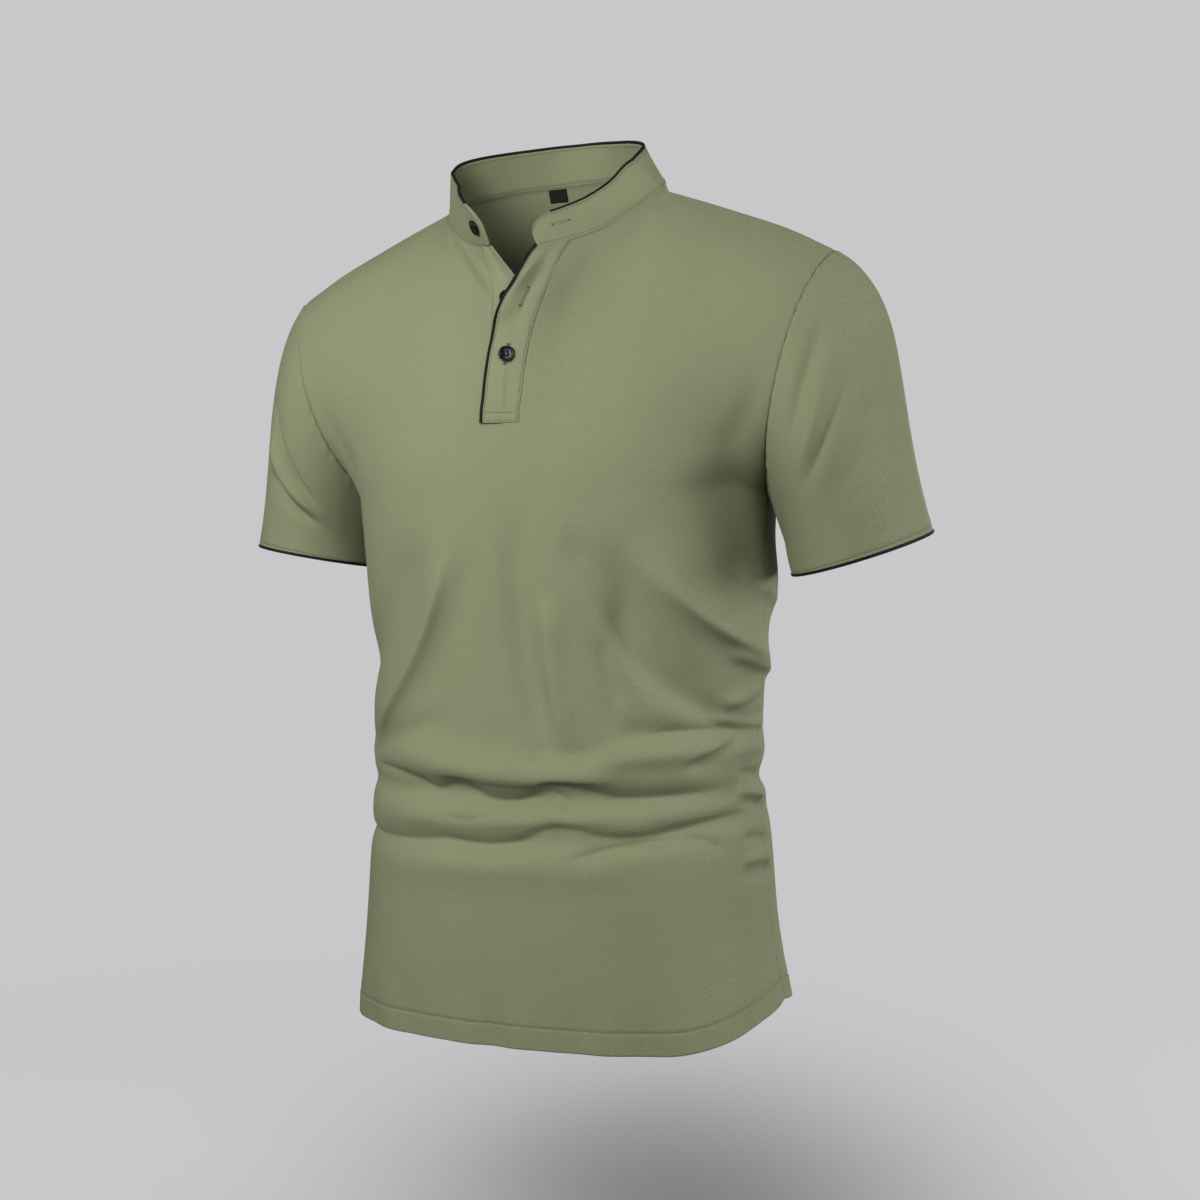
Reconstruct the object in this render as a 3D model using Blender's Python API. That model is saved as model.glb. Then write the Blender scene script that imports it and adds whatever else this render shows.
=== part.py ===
"""Short-sleeved polo shirt with a band collar, worn on a general figure that isn't there.

Metres. The origin is on the centre line of the neck, level with the tops of the shoulder seams. +Z is up, -Y is the
wearer's front and +X is the wearer's left. A panel is a grid of points: one row per level, one column per place
across, from the wearer's right seam (-1) to the left one (1).
"""

import math
from collections import namedtuple

import bpy
import numpy as np

WALL = 0.0015  # the knit
HEM_WALL = 0.0024  # the knit turned up and sewn down
BAND_WALL = 0.0024  # the collar: two layers and a stiffener
GAP = 0.0003  # between two pieces that meet
CLEAR = 0.0005  # between two pieces that lie on each other
UNDER_CLEAR = 0.0009  # between the front and the under placket, which takes the bend of the open neck
UNDERARM_GAP = 0.0006  # and this much more where a sleeve meets the underarm
STRIP_WALL = 0.0010  # the under placket and the size label

HEM_DEPTH = 0.016
ARMPIT = -0.222  # height of the underarm point
FLAT_TO = 0.24  # the column up to which the chest is flat across the placket
NECK_AT = 0.45  # the column where the shoulder seam meets the neckline
TILT = 0.020  # how much the shoulder line rises towards the wearer's left
PLACKET_FOOT = -0.176  # height of the bottom of the placket
SLIT_FOOT = -0.168  # height of the bottom of the slit, inside the box stitch
PLACKET_HALF = 0.014  # half its width
SIDE_SPAN = 0.21  # round the body from the middle of the front to the side
SLEEVE_ROUND = 0.36
SLEEVE_LONG = 0.22
BAND_ROUND = 0.021  # how far back from its end the collar's corner is rounded
PIPE = 0.0011  # radius of the piping
BUTTON = 0.0058  # radius
BUTTON_SEAT = 0.0004  # between a button and the cloth
BUTTON_HEIGHTS = (-0.127, -0.086)  # on the upper placket, on the under one
COLLAR_BUTTON_IN = 0.0105  # from the collar's right end
RAISED = 0.0034  # how far the upper placket stands off over the button below it
COLLAR_PROUD = 0.0005  # how far the collar stands out from the panels
COLLAR_ROWS = (0.0, 0.34, 0.67, 1.0)
COLLAR_EXTRA = 3  # steps of the collar past each side of the slit
PIPE_SHORT = 5  # how many steps short of the collar's ends its piping stops
STRIP_SHORT = 0.12  # how far the plackets stop short of the collar, as a share of the last row
STRIP_COLUMNS = 7
LABEL_FROM = -0.125  # the size label's two sides, top and foot
LABEL_TO = -0.062
LABEL_TOP = 0.015
LABEL_FOOT = 0.070

# One row per level of the body, from the hem up.
Level = namedtuple("Level", "z wide front back square side aft")
BODY = (
    Level(-0.640, 0.172, 0.113, 0.104, 2.34, 0.016, 0.004),
    Level(-0.600, 0.168, 0.113, 0.104, 2.34, 0.014, 0.004),
    Level(-0.540, 0.160, 0.112, 0.103, 2.30, 0.011, 0.004),
    Level(-0.480, 0.156, 0.110, 0.101, 2.26, 0.010, 0.004),
    Level(-0.430, 0.153, 0.107, 0.099, 2.22, 0.008, 0.004),
    Level(-0.380, 0.1530, 0.105, 0.098, 2.20, 0.007, 0.004),
    Level(-0.330, 0.1555, 0.105, 0.101, 2.20, 0.0075, 0.004),
    Level(-0.280, 0.160, 0.108, 0.105, 2.20, 0.008, 0.004),
    Level(-0.222, 0.164, 0.109, 0.108, 2.20, 0.006, 0.004),
)

# The top edges of the panels, with x measured out from the middle: the neckline of the front's left half and of its
# right half, as they stand open, and of the back, then the shoulder seam that they share.
Neck = namedtuple("Neck", "u left_x left_y left_z right_x right_y right_z back_x back_y back_z")
NECK = (
    Neck(0.00, 0.0314, -0.0680, -0.0441, 0.0179, -0.0845, -0.0436, 0.0000, 0.0520, 0.0260),
    Neck(0.12, 0.0430, -0.0565, -0.0394, 0.0330, -0.0710, -0.0390, 0.0280, 0.0490, 0.0255),
    Neck(0.24, 0.0600, -0.0395, -0.0292, 0.0520, -0.0535, -0.0305, 0.0560, 0.0370, 0.0215),
    Neck(0.35, 0.0780, -0.0215, -0.0131, 0.0720, -0.0310, -0.0169, 0.0785, 0.0195, 0.0140),
    Neck(0.41, 0.0855, -0.0115, -0.0032, 0.0835, -0.0155, -0.0073, 0.0862, 0.0080, 0.0080),
    Neck(0.45, 0.0885, -0.0040, 0.0010, 0.0885, -0.0040, 0.0010, 0.0885, -0.0040, 0.0010),
)
Shoulder = namedtuple("Shoulder", "u x y z")
SHOULDER = (
    Shoulder(0.45, 0.0885, -0.004, 0.0010),
    Shoulder(0.70, 0.145, -0.002, -0.0205),
    Shoulder(0.85, 0.186, 0.000, -0.0375),
    Shoulder(1.00, 0.220, 0.000, -0.0560),
)
# Where the middle of the front would end if the placket were done up.
CLOSED = (0.0055, -0.0900, -0.0500)

# Above the underarm each column is a curve from the chest to its top edge: how far it first runs on from the chest, and
# how far it runs down from the top before it turns.
Column = namedtuple("Column", "u low_x low_y low_z top_x top_y top_z")
FRONT_COLUMNS = (
    Column(0.00, 0.0000, 0.0000, 0.058, 0.000, -0.008, -0.055),
    Column(0.15, 0.0000, 0.0000, 0.058, 0.000, -0.014, -0.050),
    Column(0.30, 0.0020, 0.0000, 0.062, 0.003, -0.028, -0.040),
    Column(0.45, 0.0040, 0.0000, 0.068, 0.006, -0.050, -0.034),
    Column(0.70, 0.0060, -0.0060, 0.066, 0.004, -0.056, -0.032),
    Column(0.85, 0.0100, -0.0340, 0.058, -0.002, -0.060, -0.026),
    Column(1.00, 0.0140, -0.0900, 0.038, -0.012, -0.052, -0.020),
)
BACK_COLUMNS = (
    Column(0.00, 0.0000, 0.0000, 0.075, 0.000, 0.028, -0.060),
    Column(0.15, 0.0000, 0.0000, 0.075, 0.001, 0.030, -0.058),
    Column(0.30, 0.0030, 0.0000, 0.075, 0.002, 0.040, -0.050),
    Column(0.45, 0.0040, 0.0000, 0.075, 0.004, 0.062, -0.036),
    Column(0.70, 0.0060, 0.0060, 0.068, 0.002, 0.062, -0.032),
    Column(0.85, 0.0040, 0.0240, 0.056, -0.006, 0.060, -0.028),
    Column(1.00, -0.0020, 0.0540, 0.036, -0.022, 0.054, -0.018),
)

# How far the two sides of the slit stand open, from the bottom of the placket (0) to the neckline (1), and half the
# width of the under placket there.
Opening = namedtuple("Opening", "q left_x left_y left_z right_x right_y right_z under")
OPENING = (
    Opening(0.000, 0.0000, 0.0000, 0.0000, 0.0000, 0.0000, 0.0000, 0.0130),
    Opening(0.150, 0.0010, 0.0000, 0.0000, 0.0000, 0.0000, 0.0000, 0.0130),
    Opening(0.370, 0.0042, 0.0000, 0.0000, 0.0008, 0.0000, 0.0000, 0.0132),
    Opening(0.555, 0.0093, 0.0000, 0.0000, 0.0018, 0.0000, 0.0000, 0.0136),
    Opening(0.700, 0.0152, 0.0010, 0.0010, 0.0010, 0.0002, 0.0000, 0.0140),
    Opening(0.825, 0.0208, 0.0040, 0.0028, -0.0052, 0.0010, 0.0010, 0.0140),
    Opening(0.910, 0.0238, 0.0100, 0.0045, -0.0131, 0.0028, 0.0030, 0.0130),
    Opening(1.000, 0.0259, 0.0220, 0.0065, -0.0230, 0.0055, 0.0060, 0.0102),
)

# The sleeves: where the cuff's ring stands, which way its outer and front sides lie, and its two half widths.
# full is how far it swells past the shoulder.
Cuff = namedtuple("Cuff", "side x y z out_x out_y out_z front_x front_y front_z across deep full")
CUFFS = {
    "left": Cuff(1, 0.2325, 0.026, -0.2660, 0.969, -0.060, 0.249, 0.00, -0.983, -0.184, 0.0530, 0.0570, 1.12),
    "right": Cuff(-1, -0.2180, 0.016, -0.2640, -0.984, 0.000, 0.178, 0.00, -0.998, 0.020, 0.0500, 0.0530, 0.70),
}
# How the sleeve leaves the armhole, from the underarm (0) over the front to the shoulder (0.5) and down the back (1).
Rail = namedtuple("Rail", "round out forward down cuff")
RAILS = (
    Rail(0.00, 0.032, -0.004, 0.018, 0.020),
    Rail(0.12, 0.034, 0.006, 0.030, 0.030),
    Rail(0.30, 0.036, 0.010, 0.048, 0.060),
    Rail(0.42, 0.046, 0.004, 0.040, 0.085),
    Rail(0.50, 0.054, 0.000, 0.032, 0.100),
    Rail(0.58, 0.048, -0.006, 0.038, 0.085),
    Rail(0.70, 0.038, -0.012, 0.046, 0.060),
    Rail(0.88, 0.036, -0.008, 0.030, 0.030),
    Rail(1.00, 0.032, -0.004, 0.018, 0.020),
)

# How the collar stands at each place round the neck, from the wearer's right end (-1) to the left end (1).
Stand = namedtuple("Stand", "w lean high")
BAND = (
    Stand(-1.00, -26, 0.0290),
    Stand(-0.80, -26, 0.0300),
    Stand(-0.62, -6, 0.0315),
    Stand(-0.50, 15, 0.0320),
    Stand(-0.25, 18, 0.0290),
    Stand(0.00, 8, 0.0285),
    Stand(0.25, 24, 0.0270),
    Stand(0.40, 33, 0.0280),
    Stand(0.50, 35, 0.0292),
    Stand(0.60, 32, 0.0285),
    Stand(0.85, 30, 0.0265),
    Stand(1.00, 30, 0.0265),
)

# The folds. A fold runs through three places, each given by how far round it is and how high. Round the body 0 is the
# middle of the front, 1 the wearer's left side, 2 the middle of the back and -1 the right side. A ridge stands out by
# deep, a trough has deep below zero, and wide is half its width.
Fold = namedtuple("Fold", "name s1 z1 s2 z2 s3 z3 wide deep")
BODY_FOLDS = (
    Fold("roll over the waist", -0.60, -0.410, 0.00, -0.422, 0.50, -0.423, 0.0105, 0.0070),
    Fold("waist crease", -0.95, -0.433, -0.05, -0.440, 1.05, -0.434, 0.0080, -0.0080),
    Fold("between the creases", -0.65, -0.456, 0.00, -0.456, 0.55, -0.449, 0.0085, 0.0045),
    Fold("lower waist crease", -0.85, -0.473, -0.10, -0.472, 0.48, -0.464, 0.0080, -0.0060),
    Fold("swell below the waist", -0.70, -0.492, 0.00, -0.492, 0.50, -0.483, 0.0140, 0.0040),
    Fold("left hip crease", 0.28, -0.483, 0.56, -0.469, 0.84, -0.484, 0.0080, -0.0045),
    Fold("left waist crease", 0.60, -0.461, 0.78, -0.457, 1.20, -0.452, 0.0080, -0.0050),
    Fold("left side roll", 0.35, -0.414, 0.66, -0.407, 1.10, -0.404, 0.0090, 0.0050),
    Fold("left side crease", 0.40, -0.398, 0.66, -0.392, 1.15, -0.390, 0.0085, -0.0055),
    Fold("ridge from the right chest", -0.26, -0.255, -0.44, -0.340, -0.72, -0.398, 0.0140, 0.0070),
    Fold("trough beside the ridge", -0.14, -0.262, -0.27, -0.325, -0.40, -0.388, 0.0140, -0.0050),
    Fold("trough under the right arm", -0.42, -0.258, -0.64, -0.318, -0.96, -0.365, 0.0190, -0.0060),
    Fold("middle valley", 0.05, -0.235, 0.09, -0.325, 0.24, -0.414, 0.0150, -0.0055),
    Fold("ridge beside the valley", 0.19, -0.300, 0.22, -0.350, 0.27, -0.405, 0.0120, 0.0035),
    Fold("first slanting trough", 0.26, -0.256, 0.39, -0.289, 0.53, -0.327, 0.0120, -0.0035),
    Fold("second slanting trough", 0.42, -0.260, 0.58, -0.327, 0.77, -0.379, 0.0130, -0.0060),
    Fold("slanting ridge", 0.53, -0.266, 0.77, -0.315, 1.12, -0.347, 0.0150, 0.0050),
    Fold("under the left chest", 0.78, -0.200, 0.86, -0.245, 0.92, -0.292, 0.0250, -0.0070),
    Fold("right side roll", -0.80, -0.415, -1.15, -0.412, -1.60, -0.404, 0.0110, 0.0060),
    Fold("right back crease", -0.85, -0.432, -1.25, -0.430, -1.75, -0.421, 0.0085, -0.0070),
    Fold("right back lower crease", -0.95, -0.470, -1.30, -0.466, -1.66, -0.455, 0.0085, -0.0050),
    Fold("back roll", 1.15, -0.412, 1.60, -0.404, 2.20, -0.400, 0.0120, 0.0065),
    Fold("back waist crease", 1.00, -0.430, 1.55, -0.424, 2.25, -0.419, 0.0090, -0.0075),
    Fold("back lower crease", 1.30, -0.462, 1.80, -0.456, 2.35, -0.462, 0.0090, -0.0050),
    Fold("back swell", 1.40, -0.440, 1.90, -0.437, 2.40, -0.440, 0.0090, 0.0035),
    Fold("left blade trough", 1.28, -0.235, 1.48, -0.310, 1.62, -0.382, 0.0170, -0.0060),
    Fold("left blade ridge", 1.12, -0.262, 1.28, -0.325, 1.40, -0.385, 0.0150, 0.0050),
    Fold("right blade trough", -1.30, -0.240, -1.52, -0.306, -1.66, -0.372, 0.0170, -0.0060),
    Fold("right blade ridge", -1.12, -0.270, -1.26, -0.332, -1.44, -0.390, 0.0150, 0.0050),
    Fold("middle of the back", 1.92, -0.270, 1.98, -0.330, 2.08, -0.388, 0.0180, 0.0040),
)  # fmt: skip
# Round a sleeve s runs from the underarm over the front, the shoulder (0.5) and the back, and z down to the cuff (1).
SLEEVE_FOLDS = {
    "left": (
        Fold("beside the seam", 0.38, 0.12, 0.30, 0.16, 0.18, 0.22, 0.010, -0.0040),
        Fold("front ridge", 0.39, 0.22, 0.30, 0.30, 0.20, 0.40, 0.010, 0.0045),
        Fold("front trough", 0.39, 0.34, 0.31, 0.42, 0.20, 0.52, 0.011, -0.0065),
        Fold("second trough", 0.41, 0.52, 0.36, 0.62, 0.28, 0.72, 0.012, -0.0040),
        Fold("back trough", 0.62, 0.30, 0.72, 0.40, 0.82, 0.46, 0.014, -0.0055),
        Fold("back ridge", 0.60, 0.48, 0.70, 0.56, 0.82, 0.62, 0.014, 0.0040),
    ),
    "right": (
        Fold("front trough", 0.38, 0.34, 0.30, 0.44, 0.16, 0.50, 0.012, -0.0050),
        Fold("front ridge", 0.36, 0.50, 0.27, 0.58, 0.15, 0.62, 0.012, 0.0035),
        Fold("low trough", 0.33, 0.64, 0.26, 0.70, 0.16, 0.72, 0.011, -0.0035),
        Fold("back trough", 0.62, 0.32, 0.72, 0.40, 0.84, 0.48, 0.014, -0.0055),
        Fold("back ridge", 0.60, 0.50, 0.72, 0.58, 0.84, 0.62, 0.014, 0.0040),
    ),
}

# The grids. The rows are shared by the front and the back, so that their side seams match.
ACROSS = (0.0, 0.05, 0.10, 0.16, 0.23, 0.30, 0.375, 0.45, 0.53, 0.61, 0.69, 0.77, 0.85, 0.93, 1.0)
LOW_ROWS = (
    0.0, 0.040, 0.046, 0.12, 0.19, 0.25, 0.30, 0.34, 0.375, 0.41, 0.445,
    0.48, 0.515, 0.55, 0.60, 0.66, 0.72, 0.79, 0.86, 0.93, 1.0,
)  # fmt: skip
HIGH_ROWS = (0.09, 0.18, 0.27, 0.36, 0.46, 0.56, 0.68, 0.79, 0.90, 1.0)  # above the slit's foot, as a share
UNDERARM_ROW = len(LOW_ROWS) - 1
SLEEVE_ROWS = 9


def follow(at, rows, *names):
    """The smooth curve through named columns of a table, whose first column says where each row stands."""
    knots = np.array([row[0] for row in rows], float)
    values = np.array([[getattr(row, name) for name in names] for row in rows], float)
    slopes = np.gradient(values, knots, axis=0)
    at = np.clip(np.asarray(at, float), knots[0], knots[-1])
    i = np.clip(np.searchsorted(knots, at, side="right") - 1, 0, len(knots) - 2)
    span = (knots[i + 1] - knots[i])[..., None]
    t = (at - knots[i])[..., None] / span
    return (
        (2 * t**3 - 3 * t**2 + 1) * values[i]
        + (t**3 - 2 * t**2 + t) * span * slopes[i]
        + (3 * t**2 - 2 * t**3) * values[i + 1]
        + (t**3 - t**2) * span * slopes[i + 1]
    )


def ease(low, high, at):
    t = np.clip((np.asarray(at, float) - low) / (high - low), 0, 1)
    return t * t * (3 - 2 * t)


def bend(a, b, c, d, t):
    """A cubic curve from a to d, drawn towards b and c."""
    return (1 - t) ** 3 * a + 3 * (1 - t) ** 2 * t * b + 3 * (1 - t) * t**2 * c + t**3 * d


def unit(v):
    return v / np.maximum(np.linalg.norm(v, axis=-1, keepdims=True), 1e-12)


def folded(s, z, folds, round_size, down_size, turn):
    """How far the folds move each place out, where s goes once round in one turn. The sizes turn s and z into metres."""
    total = np.zeros(np.broadcast(s, z).shape)
    for fold in folds:
        t = np.linspace(0, 1, 13)
        # the curve through the three places, at t = 0, 0.5 and 1
        first, mid, last = (2 * t - 1) * (t - 1), 4 * t * (1 - t), t * (2 * t - 1)
        path_s = fold.s1 * first + fold.s2 * mid + fold.s3 * last
        path_z = fold.z1 * first + fold.z2 * mid + fold.z3 * last
        ds = (s[..., None] - path_s + turn / 2) % turn - turn / 2
        away = np.hypot(ds * round_size, (z[..., None] - path_z) * down_size)
        near = np.argmin(away, axis=-1)
        i = np.clip(near, 1, len(t) - 2)
        run_s = (path_s[i + 1] - path_s[i - 1]) * round_size
        run_z = (path_z[i + 1] - path_z[i - 1]) * down_size
        run = np.hypot(run_s, run_z)
        at_s = np.take_along_axis(ds, near[..., None], -1)[..., 0] * round_size
        at_z = (z - path_z[near]) * down_size
        across = (at_s * run_z - at_z * run_s) / run
        along = (at_s * run_s + at_z * run_z) / run / run * 2 / (len(t) - 1) + t[near]
        fade = ease(-0.08, 0.25, along) * ease(1.08, 0.75, along)
        total += fold.deep * fade * np.exp(-((across / fold.wide) ** 2))
    return total


def hem_height(u):
    """The hem is pulled up towards the wearer's left side."""
    return -0.616 + 0.014 * ease(-0.7, -1.1, u) + 0.030 * ease(0.55, 1.12, u)


def ring(z, u, side):
    """The body at height z, at column u of the front (side -1) or the back (side 1)."""
    wide, front, back, square, shift, aft = np.moveaxis(
        follow(z, BODY, "wide", "front", "back", "square", "side", "aft"), -1, 0
    )
    deep = front if side < 0 else back
    angle = np.asarray(u) * math.pi / 2
    across, along = np.sin(angle), np.abs(np.cos(angle))
    far = ((along / deep) ** square + np.abs(across / wide) ** square) ** (-1 / square)
    return np.stack([shift + far * across, aft + side * far * along, z + 0 * far], -1)


def rise_to(u, v, side, half=0):
    """Above the underarm: the curve of column u from the chest (v = 1) to the top edge (v = 2)."""
    mirror = np.where((u < 0) | (u + half < 0), -1.0, 1.0)[..., None] * [1.0, 0, 0] + [0, 1, 1]
    edge = "back_" if side > 0 else "left_" if half > 0 else "right_"
    top = np.where(
        np.abs(u)[..., None] < NECK_AT,
        follow(np.abs(u), NECK, edge + "x", edge + "y", edge + "z"),
        follow(np.abs(u), SHOULDER, "x", "y", "z"),
    )
    top = top * mirror
    top = top + TILT * top[..., 0:1] * [0, 0, 1]
    table = FRONT_COLUMNS if side < 0 else BACK_COLUMNS
    first = follow(np.abs(u), table, "low_x", "low_y", "low_z") * mirror
    last = follow(np.abs(u), table, "top_x", "top_y", "top_z") * mirror
    level = np.full(u.shape, ARMPIT)
    chest = ring(level, u, side)
    first = first + first[..., 2:3] * (unit(chest - ring(level - 0.01, u, side)) - [0, 0, 1])
    t = np.clip(v - 1, 0, 1)[..., None]
    return bend(chest, chest + first, top + last, top, t)


def middle(v):
    """The middle of the front as it would be done up, from the chest to the neckline."""
    row, top = FRONT_COLUMNS[0], np.array(CLOSED)
    chest = ring(np.array([ARMPIT]), np.array([0.0]), -1)[0]
    t = np.clip(np.asarray(v, float) - 1, 0, 1)[..., None]
    return bend(
        chest, chest + [0, 0, row.low_z], top + [row.top_x, row.top_y, row.top_z], top, t
    )


def middle_at(height):
    """The v at which the middle of the front reaches a height."""
    v = np.linspace(1, 2, 400)
    return float(np.interp(height, middle(v)[:, 2], v))


def panel(u, v, side, half=0):
    """A point of the front or the back: v runs from the hem (0) to the underarm (1) and on to the top edge (2).
    half is which side of the slit a point of the front belongs to: 1 is the wearer's left."""
    u, v = np.broadcast_arrays(np.asarray(u, float), np.asarray(v, float))
    low = hem_height(u) + np.clip(v, 0, 1) * (ARMPIT - hem_height(u))
    high = rise_to(u, v, side, half)
    if side < 0:
        foot = middle_at(SLIT_FOOT)
        q = np.clip((v - foot) / (2 - foot), 0, 1)
        name = "left_" if half > 0 else "right_"
        edge = middle(v) + follow(q, OPENING, name + "x", name + "y", name + "z")
        edge = edge + half * 0.0007 * ease(0, 0.1, q)[..., None] * [1, 0, 0]
        # the chest stays flat across the placket until the neck opens
        square = ease(1, 1.25, v) * (1 - ease(0.65, 1, q)) * (1 - ease(0, FLAT_TO, np.abs(u)))
        centre = rise_to(0 * u, v, side, half)
        high = high - (high - centre) * square[..., None] * [0, 1, 1]
        near = (1 - ease(0, NECK_AT, np.abs(u)))[..., None]
        high = high + near * (edge - centre)
    return np.where(v[..., None] <= 1, ring(low, u, side), high)


def cloth(u, v, side, half=0):
    """A point of the front or the back with its folds."""
    u, v = np.broadcast_arrays(np.asarray(u, float), np.asarray(v, float))
    flat = panel(u, v, side, half)
    inner = np.clip(u, -0.99, 0.99)
    if half:
        inner = half * np.clip(np.abs(inner), 0.011, 0.99)
    low, high = np.clip(v, 0.006, 1.99) - 0.005, np.clip(v, 0.006, 1.99) + 0.005
    across = panel(inner + 0.01, v, side, half) - panel(inner - 0.01, v, side, half)
    out = -side * unit(np.cross(across, panel(inner, high, side, half) - panel(inner, low, side, half)))
    edge = ease(0.8, 1.0, np.abs(u))[..., None]
    out = unit(out * (1 - edge) + np.sign(u)[..., None] * [1.0, 0, 0] * edge)
    round_at = u if side < 0 else np.where(u < 0, -2 - u, 2 - u)
    far = folded(round_at, flat[..., 2], BODY_FOLDS, SIDE_SPAN, 1.0, 4.0)
    far = far * (1 - ease(0.75, 1, np.abs(u)) * ease(1, 1.12, v)) * (1 - ease(1.7, 1.97, v))
    sag = np.maximum(far, 0)[..., None] * [0, 0, -0.45]
    return flat + out * far[..., None] + sag


def columns():
    return np.array([-a for a in ACROSS[:0:-1]] + list(ACROSS))


def levels():
    """Rows from the hem to the top edge. One lies on the foot of the placket, and the next on the foot of the slit."""
    placket, foot = middle_at(PLACKET_FOOT), middle_at(SLIT_FOOT)
    high = [foot + (2 - foot) * a for a in HIGH_ROWS]
    return np.array(list(LOW_ROWS) + [(1 + placket) / 2, placket, foot] + high)


def half_front(half):
    """The grid of one half of the front, from the middle to the side seam."""
    u = half * np.array(ACROSS)
    return cloth(u[None, :], levels()[:, None], -1, half)


def back_grid():
    return cloth(columns()[None, :], levels()[:, None], 1)


def armhole(side_of_body):
    """The ring of the armhole: from the underarm up the front to the shoulder and down the back."""
    n = len(LOW_ROWS) - 1
    v = levels()[n:]
    front = cloth(side_of_body, v, -1, side_of_body)
    back = cloth(side_of_body, v, 1)
    return np.concatenate([front, back[-2:0:-1]])


def sleeve_grid(name, ring_points, down):
    """A sleeve: rows go down from the armhole to the cuff, columns round from the underarm over the front."""
    cuff = CUFFS[name]
    count = len(ring_points)
    step = np.linalg.norm(np.roll(ring_points, -1, 0) - ring_points, axis=1)
    round_at = np.concatenate([[0], np.cumsum(step)[:-1]]) / step.sum()
    shoulder = round_at[count // 2]
    round_at = np.where(
        round_at < shoulder, 0.5 * round_at / shoulder, 0.5 + 0.5 * (round_at - shoulder) / (1 - shoulder)
    )
    out = unit(np.array([cuff.out_x, cuff.out_y, cuff.out_z]))
    front = unit(np.array([cuff.front_x, cuff.front_y, cuff.front_z]))
    arm = unit(np.cross(out, front)) * cuff.side
    angle = 2 * math.pi * round_at[:, None]
    centre = np.array([cuff.x, cuff.y, cuff.z])
    end = centre - cuff.across * np.cos(angle) * out + cuff.deep * np.sin(angle) * front
    rail = follow(round_at, RAILS, "out", "forward", "down", "cuff")
    leave = cuff.full * rail[:, 0:1] * [cuff.side, 0, 0] + rail[:, 1:2] * [0, -1, 0] + rail[:, 2:3] * [0, 0, -1]
    t = np.asarray(down)[:, None, None]
    grid = bend(ring_points, ring_points + leave, end - arm * rail[:, 3:4], end, t)
    around = np.roll(grid, -1, 1) - np.roll(grid, 1, 1)
    out = cuff.side * unit(np.cross(np.gradient(grid, axis=0), around))
    far = folded(round_at[None, :], t[..., 0], SLEEVE_FOLDS[name], SLEEVE_ROUND, SLEEVE_LONG, 1.0)
    far = far * ease(0, 0.12, t[..., 0]) * ease(1.02, 0.85, t[..., 0])
    return grid + out * far[..., None]


def neckline(us):
    """The neckline from the wearer's right side of the slit, round the back, to the left side."""
    us = np.asarray(us)
    right = panel(-us, 2.0, -1, -1)
    back = panel(np.concatenate([-us[:0:-1], us]), 2.0, 1)
    left = panel(us[::-1], 2.0, -1, 1)
    return right, back, left


def band_path(us, extra):
    """The line the collar stands on, from the end at the wearer's right to the end at the left, and the place (-1 to 1)
    of each of its points. It runs on past the slit to the plackets' free edges, in extra steps."""
    right, back, left = neckline(us)
    under = follow(1.0, OPENING, "under")[0]
    steps = np.linspace(1, 0, extra + 1)[:-1, None]
    right_end = right[0] + unit(right[0] - right[1]) * steps * under
    left_end = left[-1] + unit(left[-1] - left[-2]) * steps[::-1] * PLACKET_HALF
    line = np.concatenate([right_end, right[:-1], back, left[1:], left_end])
    n = extra + len(right) - 1
    m = len(back) // 2
    w = np.concatenate([np.linspace(-1, -0.5, n + 1)[:-1], np.linspace(-0.5, 0.5, 2 * m + 1), np.linspace(0.5, 1, n + 1)[1:]])
    return line, w


def band(line, w, ups):
    """The collar's outer face: rows go up from its seam, and each end is rounded."""
    along = np.gradient(line, axis=0)
    along = unit(along)
    inward = unit(np.cross(along, [0, 0, 1.0]))
    rise = unit(np.cross(inward, along))
    lean, high = np.moveaxis(follow(w, BAND, "lean", "high"), -1, 0)
    lean = np.radians(lean)[:, None]
    way = rise * np.cos(lean) + inward * np.sin(lean)
    far = np.concatenate([[0], np.cumsum(np.linalg.norm(np.diff(line, axis=0), axis=1))])
    end = np.minimum(far, far[-1] - far)
    short = np.maximum(1 - end / BAND_ROUND, 0)
    ups = np.asarray(ups)[:, None]
    return line + (ups * high * (0.25 + 0.75 * np.sqrt(1 - short**2)))[..., None] * way, inward, way


def strip(half, wide, over, lift, raised=0.0):
    """A placket: rows go up it, columns run across it from -1 (its free edge) to 1 (its stitched edge). It is made from
    the panel's points, moved out, and past the slit it lies on the other half as far as the slit is shut. raised is how
    far its free side stands off over the button below it."""
    over = np.asarray(over)
    foot = middle_at(SLIT_FOOT)
    vs = levels()[len(LOW_ROWS) + 1 :]
    us = np.array(ACROSS[:6])
    own_rows = cloth(half * us[None, :], vs[:, None], -1, half)
    other_rows = cloth(-half * us[None, :], vs[:, None], -1, -half)
    for rows in (own_rows, other_rows):
        rows[-1] += (rows[-2] - rows[-1]) * STRIP_SHORT
    grid = []
    for v, own, other in zip(vs, own_rows, other_rows):
        width = wide(v)
        beyond = np.concatenate([own[:1], other])
        on = along_line(own, np.maximum(over, 0) * width)
        on_other = along_line(beyond, np.maximum(-over, 0) * width)
        straight = own[0] + unit(own[0] - own[1]) * np.maximum(-over, 0)[:, None] * width
        free = ease(0.50, 0.85, (v - foot) / (2 - foot))
        past = on_other + (straight - on_other) * free
        grid.append(np.where(over[:, None] > 0, on, past))
    grid = np.array(grid)
    out = unit(np.cross(np.gradient(grid, axis=1), np.gradient(grid, axis=0))) * half
    q = np.clip((vs - foot) / (2 - foot), 0, 1)[:, None]
    bump = ease(0.42, 0.62, q) * (1 - ease(0.80, 1, q)) * ease(0.2, -0.5, over)
    return grid + out * (lift + raised * bump)[..., None], out


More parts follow.
